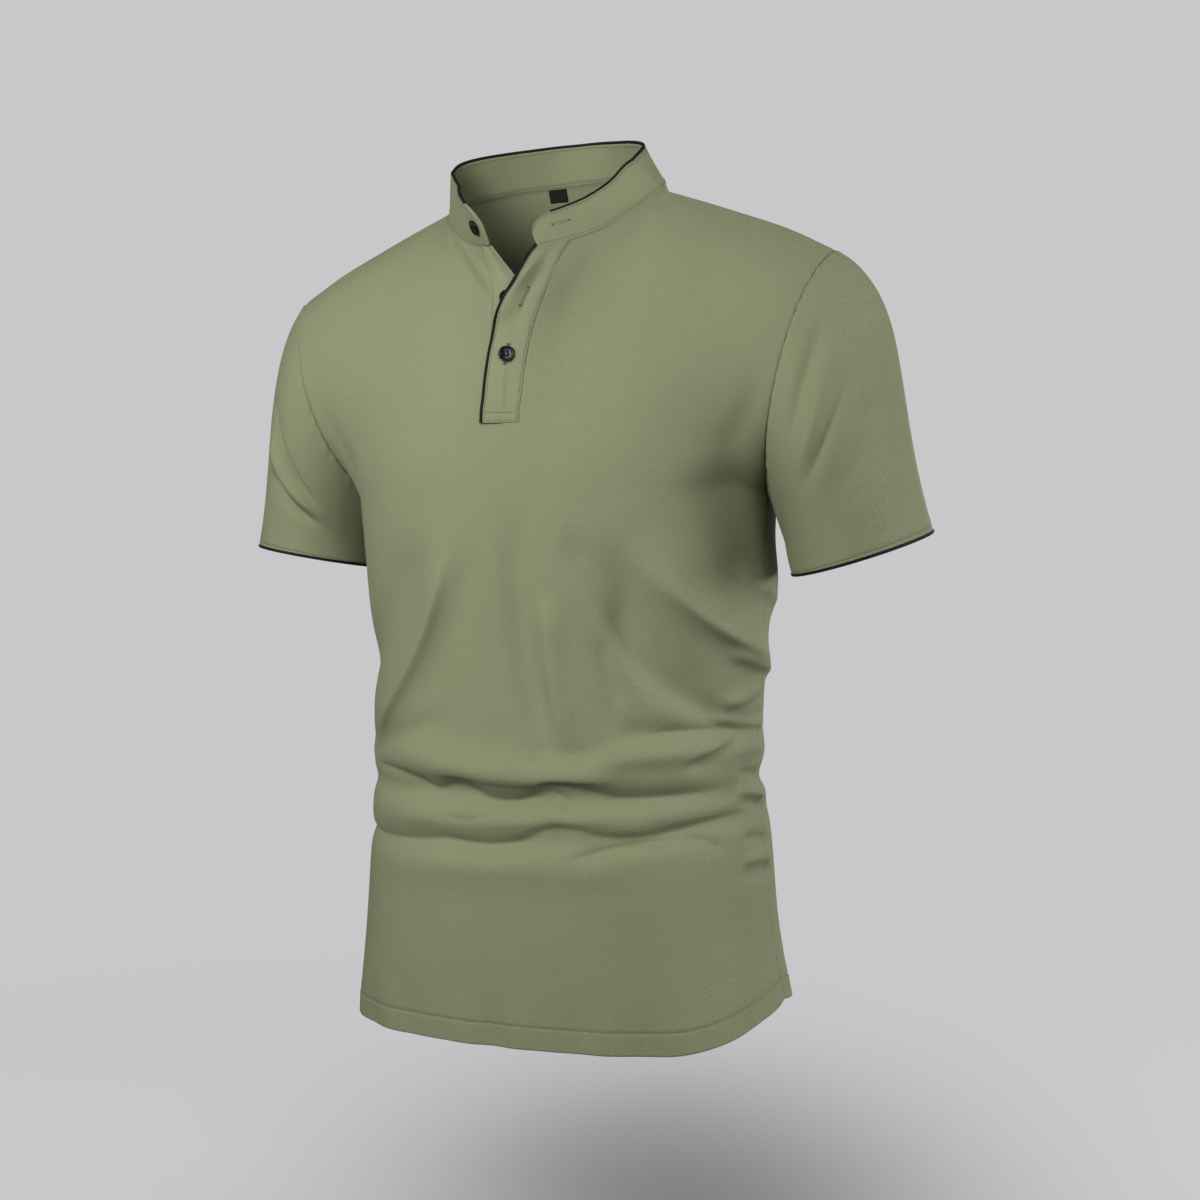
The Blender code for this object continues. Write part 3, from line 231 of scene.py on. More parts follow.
# The folds. A fold runs through three places, each given by how far round it is and how high. Round the
# body 0 is the middle of the front, 1 the wearer's left side, 2 the middle of the back and -1 the right
# side. A ridge stands out by deep, a trough has deep below zero, and wide is half its width. With a lip the
# fold is a crease under a roll of cloth: steep on its upper side.
Fold = namedtuple("Fold", "name s1 z1 s2 z2 s3 z3 wide deep lip", defaults=[False])
BODY_FOLDS = (
    Fold("roll over the waist", -0.6, -0.41, 0.0, -0.422, 0.5, -0.423, 0.012, 0.006),
    Fold("waist crease", -0.95, -0.433, -0.05, -0.442, 1.05, -0.434, 0.009, -0.0056),
    Fold("between the creases", -0.65, -0.456, 0.0, -0.456, 0.55, -0.449, 0.0085, 0.0022),
    Fold("lower waist crease", -0.85, -0.473, -0.1, -0.473, 0.48, -0.465, 0.0085, -0.0036),
    Fold("swell below the waist", -0.7, -0.492, 0.0, -0.492, 0.5, -0.483, 0.014, 0.0024),
    Fold("left hip crease", 0.28, -0.483, 0.52, -0.47, 0.72, -0.469, 0.008, -0.0022),
    Fold("left waist crease", 0.52, -0.464, 0.75, -0.457, 1.2, -0.452, 0.008, -0.0028),
    Fold("left side roll", 0.35, -0.414, 0.66, -0.407, 1.1, -0.404, 0.009, 0.004),
    Fold("left side crease", 0.44, -0.398, 0.68, -0.393, 1.15, -0.394, 0.0085, -0.0036),
    Fold("ridge from the right chest", -0.26, -0.255, -0.44, -0.34, -0.72, -0.398, 0.012, 0.0052),
    Fold("trough beside the ridge", -0.14, -0.262, -0.27, -0.325, -0.4, -0.388, 0.014, -0.003),
    Fold("trough under the right arm", -0.42, -0.258, -0.64, -0.318, -0.96, -0.365, 0.019, -0.006),
    Fold("middle valley", 0.05, -0.235, 0.09, -0.325, 0.24, -0.414, 0.015, -0.0058),
    Fold("ridge beside the valley", 0.19, -0.3, 0.22, -0.35, 0.27, -0.405, 0.012, 0.0048),
    Fold("first slanting trough", 0.26, -0.256, 0.39, -0.289, 0.53, -0.327, 0.012, -0.0035),
    Fold("second slanting trough", 0.42, -0.26, 0.58, -0.327, 0.77, -0.379, 0.013, -0.0075),
    Fold("slanting ridge", 0.53, -0.266, 0.77, -0.315, 1.12, -0.347, 0.014, 0.0062),
    Fold("under the left chest", 0.78, -0.2, 0.86, -0.245, 0.92, -0.292, 0.033, -0.0062),
    Fold("right side roll", -0.8, -0.415, -1.15, -0.412, -1.6, -0.404, 0.011, 0.006),
    Fold("right back crease", -0.85, -0.432, -1.25, -0.43, -1.75, -0.421, 0.0085, -0.007),
    Fold("right back lower crease", -0.95, -0.47, -1.3, -0.466, -1.66, -0.455, 0.0085, -0.005),
    Fold("back roll", 1.15, -0.412, 1.6, -0.404, 2.2, -0.4, 0.012, 0.0065),
    Fold("back waist crease", 1.0, -0.43, 1.55, -0.424, 2.25, -0.419, 0.009, -0.0075),
    Fold("back lower crease", 1.3, -0.462, 1.8, -0.456, 2.35, -0.462, 0.009, -0.005),
    Fold("back swell", 1.4, -0.44, 1.9, -0.437, 2.4, -0.44, 0.009, 0.0035),
    Fold("left blade trough", 1.28, -0.235, 1.48, -0.31, 1.62, -0.382, 0.017, -0.006),
    Fold("left blade ridge", 1.12, -0.262, 1.28, -0.325, 1.4, -0.385, 0.015, 0.005),
    Fold("right blade trough", -1.3, -0.24, -1.52, -0.306, -1.66, -0.372, 0.017, -0.006),
    Fold("right blade ridge", -1.12, -0.27, -1.26, -0.332, -1.44, -0.39, 0.015, 0.005),
    Fold("middle of the back", 1.92, -0.27, 1.98, -0.33, 2.08, -0.388, 0.018, 0.004),
)
# The smaller creases, which the solids leave out.
FINE_FOLDS = (
    Fold("crease, right end", -0.72, -0.424, -0.49, -0.429, -0.31, -0.4395, 0.0075, -0.0044, True),
    Fold("crease over the lens", -0.34, -0.439, -0.22, -0.433, -0.09, -0.4425, 0.0085, -0.0054, True),
    Fold("crease, middle", -0.12, -0.4415, 0.05, -0.443, 0.19, -0.4325, 0.008, -0.0052, True),
    Fold("crease, left of the middle", 0.16, -0.4325, 0.29, -0.432, 0.45, -0.439, 0.0085, -0.005, True),
    Fold("crease, left end", 0.4, -0.4385, 0.54, -0.439, 0.8, -0.4345, 0.008, -0.0032, True),
    Fold("lens under the roll", -0.32, -0.451, -0.19, -0.4575, -0.04, -0.45, 0.0062, -0.0017, True),
    Fold("swell of the lens", -0.3, -0.445, -0.19, -0.448, -0.06, -0.446, 0.0042, 0.0014),
    Fold("tuck", 0.17, -0.4345, 0.26, -0.44, 0.27, -0.453, 0.0042, -0.0022, True),
    Fold("tuck's ridge", 0.06, -0.4455, 0.17, -0.448, 0.25, -0.456, 0.0042, 0.0018),
    Fold("lower crease, right end", -0.92, -0.469, -0.6, -0.476, -0.26, -0.4715, 0.007, -0.0034, True),
    Fold("lower crease, middle", -0.32, -0.471, -0.06, -0.4745, 0.15, -0.4655, 0.008, -0.0046, True),
    Fold("lower crease, left", 0.1, -0.4665, 0.22, -0.461, 0.36, -0.4635, 0.006, -0.0026, True),
    Fold("lower crease, left end", 0.32, -0.4625, 0.51, -0.466, 0.82, -0.454, 0.0075, -0.0036, True),
    Fold("hip crease", 0.27, -0.4835, 0.45, -0.473, 0.68, -0.468, 0.006, -0.0028, True),
    Fold("hip crease, end", 0.65, -0.468, 0.73, -0.469, 0.78, -0.479, 0.0055, -0.0028, True),
    Fold("left waist lip", 0.58, -0.4625, 0.75, -0.456, 0.95, -0.452, 0.0055, -0.0022, True),
    Fold("swell under the lower crease", -0.4, -0.485, -0.1, -0.487, 0.25, -0.48, 0.008, 0.0012),
    Fold("short slant", 0.68, -0.42, 0.79, -0.408, 0.92, -0.398, 0.0065, -0.0046, True),
    Fold("lobe at the left side", 0.8, -0.376, 0.93, -0.368, 1.06, -0.358, 0.0055, 0.0036),
    Fold("crest at the left side", 0.82, -0.336, 0.95, -0.344, 1.15, -0.354, 0.005, 0.0032),
    Fold("valley to the left side", 0.44, -0.3, 0.6, -0.357, 0.94, -0.3935, 0.009, -0.0062),
    Fold("lip over the valley's end", 0.56, -0.396, 0.72, -0.3925, 0.95, -0.3945, 0.006, -0.0026, True),
    Fold("inner slant", 0.39, -0.324, 0.43, -0.364, 0.46, -0.395, 0.008, -0.0022),
    Fold("short fold above the roll", 0.1, -0.405, 0.26, -0.411, 0.44, -0.404, 0.0075, -0.0022),
    Fold("side pucker 1", 0.88, -0.425, 0.95, -0.426, 1.04, -0.429, 0.004, -0.003),
    Fold("side pucker 2", 0.86, -0.437, 0.95, -0.4385, 1.06, -0.443, 0.004, 0.0032),
    Fold("side pucker 3", 0.88, -0.446, 0.96, -0.4475, 1.05, -0.452, 0.0038, -0.0032),
    Fold("side pucker 4", 0.87, -0.471, 0.95, -0.472, 1.05, -0.475, 0.004, -0.0032),
    Fold("side pucker 5", 0.86, -0.486, 0.95, -0.485, 1.05, -0.488, 0.004, 0.003),
    Fold("side pucker 6", 0.84, -0.497, 0.94, -0.496, 1.05, -0.499, 0.0045, -0.0027),
    Fold("crest of the curved ridge", -0.28, -0.276, -0.42, -0.338, -0.66, -0.396, 0.0042, 0.0036),
    Fold("dark end of the ridge", -0.3, -0.383, -0.55, -0.402, -0.95, -0.415, 0.01, -0.003),
    Fold("left edge of the valley", 0.02, -0.3, 0.08, -0.365, 0.2, -0.414, 0.011, -0.0012),
    Fold("slanting crest", 0.58, -0.279, 0.78, -0.318, 1.08, -0.343, 0.0048, 0.0036),
    Fold("low slanting crest", 0.78, -0.383, 0.92, -0.3895, 1.1, -0.39, 0.004, 0.0038),
    Fold("thin slant", 0.38, -0.33, 0.44, -0.352, 0.49, -0.374, 0.007, -0.0014),
    Fold("high side crest", 0.86, -0.283, 1.0, -0.292, 1.2, -0.3, 0.0065, 0.0026),
    Fold("neck drag", 0.46, 0.001, 0.47, -0.01, 0.49, -0.022, 0.0045, -0.0009),
    Fold("collar drag, left", 0.41, -0.014, 0.37, -0.032, 0.32, -0.05, 0.007, -0.0004),
    Fold("collar drag ridge, left", 0.36, -0.016, 0.31, -0.036, 0.25, -0.058, 0.006, 0.0005),
    Fold("collar drag, right", -0.41, -0.012, -0.25, -0.052, -0.1, -0.09, 0.0058, -0.0018),
    Fold("collar drag ridge, right", -0.34, -0.014, -0.18, -0.052, -0.07, -0.08, 0.0055, 0.0012),
    Fold("armhole drag, left front", 0.95, -0.15, 0.86, -0.176, 0.76, -0.205, 0.013, -0.003),
    Fold("armhole drag, right front", -0.95, -0.15, -0.86, -0.178, -0.75, -0.208, 0.011, -0.0024),
    Fold("armhole drag, left back", 1.06, -0.16, 1.2, -0.19, 1.34, -0.222, 0.012, -0.003),
    Fold("armhole drag, right back", -1.06, -0.16, -1.22, -0.188, -1.36, -0.218, 0.012, -0.003),
    Fold("right side pucker 1", -0.9, -0.444, -1.0, -0.445, -1.12, -0.4475, 0.004, 0.0022),
    Fold("right side pucker 2", -0.88, -0.483, -1.0, -0.4835, -1.14, -0.485, 0.0045, -0.002),
    Fold("foot of the back roll", 1.25, -0.4255, 1.6, -0.4205, 2.05, -0.417, 0.0036, -0.0022),
    Fold("second foot of the back roll", 2.1, -0.42, 2.3, -0.422, 2.6, -0.427, 0.004, -0.0018),
    Fold("back lens", 1.55, -0.442, 1.72, -0.445, 1.9, -0.442, 0.005, -0.0018),
    Fold("hollow of the back", 1.8, -0.3, 1.84, -0.345, 1.92, -0.392, 0.009, -0.0022),
)
# Round a sleeve s runs from the underarm over the front, the shoulder (0.5) and the back, and z down to the
# cuff (1).
SLEEVE_FOLDS = {
    "left": (
        Fold("beside the seam", 0.38, 0.12, 0.3, 0.16, 0.18, 0.22, 0.01, -0.0024),
        Fold("front ridge", 0.39, 0.22, 0.3, 0.3, 0.2, 0.4, 0.01, 0.0016),
        Fold("front trough", 0.39, 0.34, 0.31, 0.42, 0.2, 0.52, 0.012, -0.0022),
        Fold("second trough", 0.41, 0.52, 0.36, 0.62, 0.28, 0.72, 0.013, -0.0022),
        Fold("back trough", 0.62, 0.3, 0.72, 0.4, 0.82, 0.46, 0.014, -0.0055),
        Fold("back ridge", 0.6, 0.48, 0.7, 0.56, 0.82, 0.62, 0.014, 0.004),
    ),
    "right": (
        Fold("front trough", 0.38, 0.34, 0.3, 0.44, 0.16, 0.5, 0.012, -0.005),
        Fold("front ridge", 0.36, 0.5, 0.27, 0.58, 0.15, 0.62, 0.012, 0.0035),
        Fold("low trough", 0.33, 0.64, 0.26, 0.7, 0.16, 0.72, 0.011, -0.0035),
        Fold("back trough", 0.62, 0.32, 0.72, 0.4, 0.84, 0.48, 0.014, -0.0055),
        Fold("back ridge", 0.6, 0.5, 0.72, 0.58, 0.84, 0.62, 0.014, 0.004),
    ),
}
FINE_SLEEVE_FOLDS = {
    "left": (
        Fold("edge of the front trough", 0.38, 0.36, 0.31, 0.43, 0.22, 0.51, 0.0042, -0.001),
        Fold("thin crease", 0.4, 0.6, 0.36, 0.7, 0.31, 0.8, 0.006, -0.0008),
        Fold("soft hollow", 0.47, 0.46, 0.44, 0.62, 0.42, 0.8, 0.012, -0.0009),
    ),
    "right": (
        Fold("edge of the front trough", 0.36, 0.37, 0.29, 0.45, 0.18, 0.5, 0.0045, -0.0018),
        Fold("edge of the low trough", 0.32, 0.65, 0.26, 0.7, 0.18, 0.72, 0.0042, -0.0014),
    ),
}
# On the upper placket s runs across in half widths and z is a height.
PLACKET_FOLDS = (
    Fold("hollow over the button", 0.8, -0.058, -0.05, -0.082, -0.42, -0.118, 0.007, -0.0019),
    Fold("lobe beside the hollow", -0.45, -0.06, -0.62, -0.082, -0.72, -0.104, 0.0042, 0.0014),
    Fold("pressed crease", -0.02, -0.136, 0.04, -0.152, 0.1, -0.17, 0.0022, 0.0007),
)

# The ruler that the collar's places are read on: the panel columns at equal steps of it.
ACROSS = (0.0, 0.05, 0.10, 0.16, 0.23, 0.30, 0.375, 0.45)


# --- settings that a user would change
SIZE = {"unit": "LENGTH", "precision": 5, "min": 0.0001, "max": 0.02}
PLACE = {"unit": "LENGTH", "precision": 4, "min": -5.0, "max": 5.0}
POWER = {"subtype": "POWER", "min": 0.0, "max": 500.0}
COLOUR = {"subtype": "COLOR", "size": 3, "min": 0.0, "max": 1.0}


class PoloClothSettings(bpy.types.PropertyGroup):
    """Sizes and colours of the cloth."""

    wall: FloatProperty(
        name="Knit thickness", description="Thickness of the body's knit", default=0.0015, **SIZE
    )
    hem_wall: FloatProperty(
        name="Hem thickness", description="Thickness where the knit is turned up", default=0.0024, **SIZE
    )
    band_wall: FloatProperty(
        name="Collar thickness", description="Two layers and a stiffener", default=0.0024, **SIZE
    )
    strip_wall: FloatProperty(
        name="Under placket thickness", description="Also that of the label", default=0.0010, **SIZE
    )
    cell: FloatProperty(
        name="Grid cell", description="Distance between the grid's points", default=0.0028, **SIZE
    )
    seam_dip: FloatProperty(
        name="Seam depth", description="How far a seam sinks into the cloth", default=0.0007, **SIZE
    )
    wale: FloatProperty(name="Wale", description="Width of one column of loops", default=0.0013, **SIZE)
    course: FloatProperty(name="Course", description="Height of one row of loops", default=0.0012, **SIZE)
    knit_colour: FloatVectorProperty(
        name="Knit", description="Colour of the knit", default=(0.243, 0.267, 0.149), **COLOUR
    )
    light_yarn: FloatVectorProperty(
        name="Light yarn", description="The paler fibres", default=(0.318, 0.336, 0.208), **COLOUR
    )


class PoloTrimSettings(bpy.types.PropertyGroup):
    """Sizes and colours of the trim."""

    pipe: FloatProperty(name="Piping radius", description="Radius of the piping", default=0.00125, **SIZE)
    button: FloatProperty(name="Button radius", description="Radius of a button", default=0.0058, **SIZE)
    stitch: FloatProperty(
        name="Stitch length", description="From one stitch to the next", default=0.0027, **SIZE
    )
    thread: FloatProperty(
        name="Thread radius", description="Radius of the sewing thread", default=0.00021, **SIZE
    )
    thread_colour: FloatVectorProperty(
        name="Thread", description="Colour of the sewing thread", default=(0.125, 0.138, 0.078), **COLOUR
    )
    hole_colour: FloatVectorProperty(
        name="Buttonhole", description="Thread round it", default=(0.300, 0.290, 0.175), **COLOUR
    )
    bar_colour: FloatVectorProperty(
        name="Bar tack", description="Thread at a buttonhole's ends", default=(0.150, 0.060, 0.030), **COLOUR
    )
    black: FloatVectorProperty(
        name="Black", description="Piping, buttons and label", default=(0.0036, 0.0036, 0.0042), **COLOUR
    )


class PoloStageSettings(bpy.types.PropertyGroup):
    """The camera, the lights and the floor."""

    azimuth: FloatProperty(
        name="Azimuth", description="Where the camera stands round the shirt", default=math.radians(23.8),
        subtype="ANGLE", unit="ROTATION",
    )
    distance: FloatProperty(
        name="Distance", description="From the camera to the shirt's centre line", default=1.4, **PLACE
    )
    aside: FloatProperty(
        name="Aside", description="How far the camera stands to its right", default=0.0338, **PLACE
    )
    height: FloatProperty(name="Height", description="Height of the camera", default=-0.3011, **PLACE)
    lens: FloatProperty(
        name="Lens", description="Focal length in millimetres", default=55.272, min=20, max=200
    )
    floor: FloatProperty(
        name="Floor", description="Height of the floor below the shirt", default=-0.780, **PLACE
    )
    key_power: FloatProperty(
        name="Key light", description="Power of the light in front", default=13.9, **POWER
    )
    fill_power: FloatProperty(
        name="Fill light", description="Power of the fill light and the one behind", default=8.5, **POWER
    )
    side_power: FloatProperty(
        name="Side light", description="Power of the light on the wearer's left", default=10.5, **POWER
    )
    rim_power: FloatProperty(
        name="Rim light", description="Power of the light behind the wearer's left", default=30.0, **POWER
    )
    ambient: FloatProperty(
        name="Ambient", description="Strength of the room's own light", default=0.01, min=0, max=2
    )
    backdrop: FloatVectorProperty(
        name="Backdrop", description="Colour behind the shirt", default=(0.571, 0.578, 0.591), **COLOUR
    )


# --- curves and surfaces
def follow(at, rows, *names):
    """The smooth curve through named columns of a table, whose first column says where each row stands."""
    knots = np.array([row[0] for row in rows], float)
    values = np.array([[getattr(row, name) for name in names] for row in rows], float)
    slopes = np.gradient(values, knots, axis=0)
    at = np.clip(np.asarray(at, float), knots[0], knots[-1])
    i = np.clip(np.searchsorted(knots, at, side="right") - 1, 0, len(knots) - 2)
    span = (knots[i + 1] - knots[i])[..., None]
    t = (at - knots[i])[..., None] / span
    return (
        (2 * t**3 - 3 * t**2 + 1) * values[i]
        + (t**3 - 2 * t**2 + t) * span * slopes[i]
        + (3 * t**2 - 2 * t**3) * values[i + 1]
        + (t**3 - t**2) * span * slopes[i + 1]
    )


def ease(low, high, at):
    t = np.clip((np.asarray(at, float) - low) / (high - low), 0, 1)
    return t * t * (3 - 2 * t)


def bell(at, wide):
    return np.exp(-((at / wide) ** 2))


def lipped(far, wide):
    """A crease that comes to an edge, rounded just enough for cloth."""
    return np.exp(-1.5 * (np.hypot(far / wide, 0.38) - 0.38))


def bend(a, b, c, d, t):
    """A cubic curve from a to d, drawn towards b and c."""
    return (1 - t) ** 3 * a + 3 * (1 - t) ** 2 * t * b + 3 * (1 - t) * t**2 * c + t**3 * d


def unit(v):
    return v / np.maximum(np.linalg.norm(v, axis=-1, keepdims=True), 1e-12)


def reach_along(line):
    """How far along a line of points each of them lies."""
    return np.concatenate([[0], np.cumsum(np.linalg.norm(np.diff(line, axis=0), axis=1))])


def read_at(at, knots, rows):
    """Rows of three numbers, read between knots."""
    return np.stack([np.interp(at, knots, rows[:, k]) for k in range(3)], -1)


def graded(length, step, near_start=(), near_end=()):
    """Places from 0 to 1 along a length, a step apart, with closer ones by an end that has a seam or a
    hem."""
    even = np.linspace(0, 1, max(2, round(length / step)) + 1)
    close = np.concatenate([np.array(near_start) / length, 1 - np.array(near_end) / length])
    even = even[[np.all(np.abs(a - close) > 0.4 * step / length) or a in (0, 1) for a in even]]
    return np.unique(np.concatenate([even, close]))


def folded(s, z, folds, round_size, down_size, turn):
    """How far the folds move each place out, where s goes once round in one turn. The sizes turn s and z
    into metres."""
    shape = np.broadcast(s, z).shape
    s, z = np.broadcast_to(s, shape), np.broadcast_to(z, shape)
    total = np.zeros(shape)
    t = np.linspace(0, 1, 13)
    # the curve through the three places, at t = 0, 0.5 and 1
    first, mid, last = (2 * t - 1) * (t - 1), 4 * t * (1 - t), t * (2 * t - 1)
    for fold in folds:
        path_s = fold.s1 * first + fold.s2 * mid + fold.s3 * last
        path_z = fold.z1 * first + fold.z2 * mid + fold.z3 * last
        reach = 3.2 * fold.wide / down_size
        near = (z > path_z.min() - reach) & (z < path_z.max() + reach)
        if not near.any():
            continue
        ds = (s[near][:, None] - path_s + turn / 2) % turn - turn / 2
        away = np.hypot(ds * round_size, (z[near][:, None] - path_z) * down_size)
        i = np.argmin(away, axis=-1)
        k = np.clip(i, 1, len(t) - 2)
        run_s = (path_s[k + 1] - path_s[k - 1]) * round_size
        run_z = (path_z[k + 1] - path_z[k - 1]) * down_size
        run = np.hypot(run_s, run_z)
        at_s = np.take_along_axis(ds, i[:, None], -1)[:, 0] * round_size
        at_z = (z[near] - path_z[i]) * down_size
        across = (at_s * run_z - at_z * run_s) / run
        if fold.lip:
            below = across * np.sign(run_s) > 0
            shape_across = lipped(np.abs(across), np.where(below, fold.wide, 0.48 * fold.wide))
        else:
            shape_across = bell(across, fold.wide)
        along = (at_s * run_s + at_z * run_z) / run / run * 2 / (len(t) - 1) + t[i]
        fade = ease(-0.08, 0.25, along) * ease(1.08, 0.75, along)
        total[near] += fold.deep * fade * shape_across
    return total


def hem_height(u, side=-1):
    """The hem is pulled up towards the wearer's left side, and at the back a little sooner."""
    pulled = ease(0.0, 1.267, u) if side > 0 else ease(0.55, 1.12, u)
    return -0.616 + 0.014 * ease(-0.7, -1.1, u) + 0.030 * pulled


def ring(z, u, side):
    """The body at height z, at column u of the front (side -1) or the back (side 1)."""
    wide, front, back, square, shift, aft = np.moveaxis(
        follow(z, BODY, "wide", "front", "back", "square", "side", "aft"), -1, 0
    )
    deep = front if side < 0 else back
    angle = np.asarray(u) * math.pi / 2
    across, along = np.sin(angle), np.abs(np.cos(angle))
    far = ((along / deep) ** square + np.abs(across / wide) ** square) ** (-1 / square)
    return np.stack([shift + far * across, aft + side * far * along, z + 0 * far], -1)


def rise_to(u, v, side, half=0):
    """Above the underarm: the curve of column u from the chest (v = 1) to the top edge (v = 2)."""
    mirror = np.where((u < 0) | (u + half < 0), -1.0, 1.0)[..., None] * [1.0, 0, 0] + [0, 1, 1]
    edge = "back_" if side > 0 else "left_" if half > 0 else "right_"
    top = np.where(
        np.abs(u)[..., None] < NECK_AT,
        follow(np.abs(u), NECK, edge + "x", edge + "y", edge + "z"),
        follow(np.abs(u), SHOULDER, "x", "y", "z"),
    )
    top = top * mirror
    top = top + TILT * top[..., 0:1] * [0, 0, 1]
    table = FRONT_COLUMNS if side < 0 else BACK_COLUMNS
    first = follow(np.abs(u), table, "low_x", "low_y", "low_z") * mirror
    last = follow(np.abs(u), table, "top_x", "top_y", "top_z") * mirror
    level = np.full(u.shape, ARMPIT)
    chest = ring(level, u, side)
    first = first + first[..., 2:3] * (unit(chest - ring(level - 0.01, u, side)) - [0, 0, 1])
    t = np.clip(v - 1, 0, 1)[..., None]
    return bend(chest, chest + first, top + last, top, t)


def middle(v):
    """The middle of the front as it would be done up, from the chest to the neckline."""
    row, top = FRONT_COLUMNS[0], np.array(CLOSED)
    chest = ring(np.array([ARMPIT]), np.array([0.0]), -1)[0]
    t = np.clip(np.asarray(v, float) - 1, 0, 1)[..., None]
    return bend(chest, chest + [0, 0, row.low_z], top + [row.top_x, row.top_y, row.top_z], top, t)


@functools.lru_cache(maxsize=None)
def middle_at(height):
    """The v at which the middle of the front reaches a height."""
    v = np.linspace(1, 2, 400)
    return float(np.interp(height, middle(v)[:, 2], v))


# places beside one another, and the share that each has in their mean
SPREAD = ((-1, 0.12), (-0.5, 0.24), (0, 0.28), (0.5, 0.24), (1, 0.12))


def panel(u, v, side, half=0):
    """A point of the front or the back: v runs from the hem (0) to the underarm (1) and on to the top edge
    (2). half is which side of the slit a point of the front belongs to: 1 is the wearer's left."""
    u, v = np.broadcast_arrays(np.asarray(u, float), np.asarray(v, float))
    low = hem_height(u, side) + np.clip(v, 0, 1) * (ARMPIT - hem_height(u, side))
    # the corner where the neckline meets the shoulder fades out down the cloth
    spread = 0.11 * ease(2, 1.72, v) * ease(1, 1.3, v) * ease(0, 0.16, np.abs(u)) * ease(1, 0.72, np.abs(u))
    high = sum(w * rise_to(u + k * spread, v, side, half) for k, w in SPREAD)
    if side < 0:
        foot = middle_at(SLIT_FOOT)
        q = np.clip((v - foot) / (2 - foot), 0, 1)
        name = "left_" if half > 0 else "right_"
        edge = middle(v) + follow(q, OPENING, name + "x", name + "y", name + "z")
        edge = edge + half * 0.0007 * ease(0, 0.1, q)[..., None] * [1, 0, 0]
        # the chest stays flat across the placket until the neck opens
        square = ease(1, 1.25, v) * (1 - ease(0.65, 1, q)) * (1 - ease(0, FLAT_TO, np.abs(u)))
        centre = rise_to(0 * u, v, side, half)
        high = high - (high - centre) * square[..., None] * [0, 1, 1]
        near = (1 - ease(0, NECK_AT, np.abs(u)))[..., None]
        high = high + near * (edge - centre)
    return np.where(v[..., None] <= 1, ring(low, u, side), high)


def cloth(u, v, side, half=0, fine=True):
    """A point of the front or the back with its folds."""
    u, v = np.broadcast_arrays(np.asarray(u, float), np.asarray(v, float))
    flat = panel(u, v, side, half)
    inner = np.clip(u, -0.99, 0.99)
    if half:
        inner = half * np.clip(np.abs(inner), 0.011, 0.99)
    low, high = np.clip(v, 0.006, 1.99) - 0.005, np.clip(v, 0.006, 1.99) + 0.005
    across = panel(inner + 0.01, v, side, half) - panel(inner - 0.01, v, side, half)
    out = -side * unit(np.cross(across, panel(inner, high, side, half) - panel(inner, low, side, half)))
    edge = ease(0.8, 1.0, np.abs(u))[..., None]
    out = unit(out * (1 - edge) + np.sign(u)[..., None] * [1.0, 0, 0] * edge)
    round_at = u if side < 0 else np.where(u < 0, -2 - u, 2 - u)
    folds = BODY_FOLDS + FINE_FOLDS if fine else BODY_FOLDS
    far = folded(round_at, flat[..., 2], folds, SIDE_SPAN, 1.0, 4.0)
    at_armhole, at_top = ease(0.75, 1, np.abs(u)) * ease(1, 1.12, v), ease(1.7, 1.97, v) * (1 - 0.7 * fine)
    far = far * (1 - at_armhole) * (1 - at_top)
    sag = np.maximum(far, 0)[..., None] * [0, 0, -0.45]
    return flat + out * far[..., None] + sag


def armhole(side_of_body, v):
    """The ring of the armhole: from the underarm up the front to the shoulder and down the back to the
    underarm."""
    front = cloth(side_of_body, v, -1, side_of_body)
    back = cloth(side_of_body, v, 1)
    return np.concatenate([front, back[-2::-1]])


def sleeve_grid(name, ring_points, down):
    """A sleeve: rows go down from the armhole to the cuff, columns round from the underarm over the front
    and back to the underarm, where its seam is."""
    cuff = CUFFS[name]
    reach = reach_along(ring_points)
    round_at = np.interp(reach, reach[[0, len(ring_points) // 2, -1]], [0, 0.5, 1])
    out = unit(np.array([cuff.out_x, cuff.out_y, cuff.out_z]))
    front = unit(np.array([cuff.front_x, cuff.front_y, cuff.front_z]))
    arm = unit(np.cross(out, front)) * cuff.side
    angle = 2 * math.pi * round_at[:, None]
    centre = np.array([cuff.x, cuff.y, cuff.z])
    end = centre - cuff.across * np.cos(angle) * out + cuff.deep * np.sin(angle) * front
    rail = follow(round_at, RAILS, "out", "forward", "down", "cuff")
    leave = rail[:, :3] * [cuff.full * cuff.side, -1, -1]
    t = np.asarray(down)[:, None, None]
    grid = bend(ring_points, ring_points + leave, end - arm * rail[:, 3:4], end, t)
    smooth = grid.copy()
    for _ in range(40):
        smooth[:, 1:-1] = (smooth[:, :-2] + 2 * smooth[:, 1:-1] + smooth[:, 2:]) / 4
    over_top = (ease(0, 0.22, t[..., 0]) * bell(round_at - 0.5, 0.16))[..., None]
    grid = grid + over_top * (smooth - grid)
    around = np.gradient(grid, axis=1)
    around[:, [0, -1]] = (grid[:, 1] - grid[:, -2])[:, None] / 2
    out = cuff.side * unit(np.cross(np.gradient(grid, axis=0), around))
    folds = SLEEVE_FOLDS[name] + FINE_SLEEVE_FOLDS[name]
    far = folded(round_at[None, :], t[..., 0], folds, SLEEVE_ROUND, SLEEVE_LONG, 1.0)
    far = far * ease(0, 0.12, t[..., 0]) * ease(1.02, 0.85, t[..., 0])
    return grid + out * far[..., None], round_at


def ruler(u):
    """The place of a neckline column on the collar's ruler, from 0 at the slit to 7 at the shoulder
    seam."""
    return np.interp(np.abs(u), ACROSS, np.arange(len(ACROSS)))


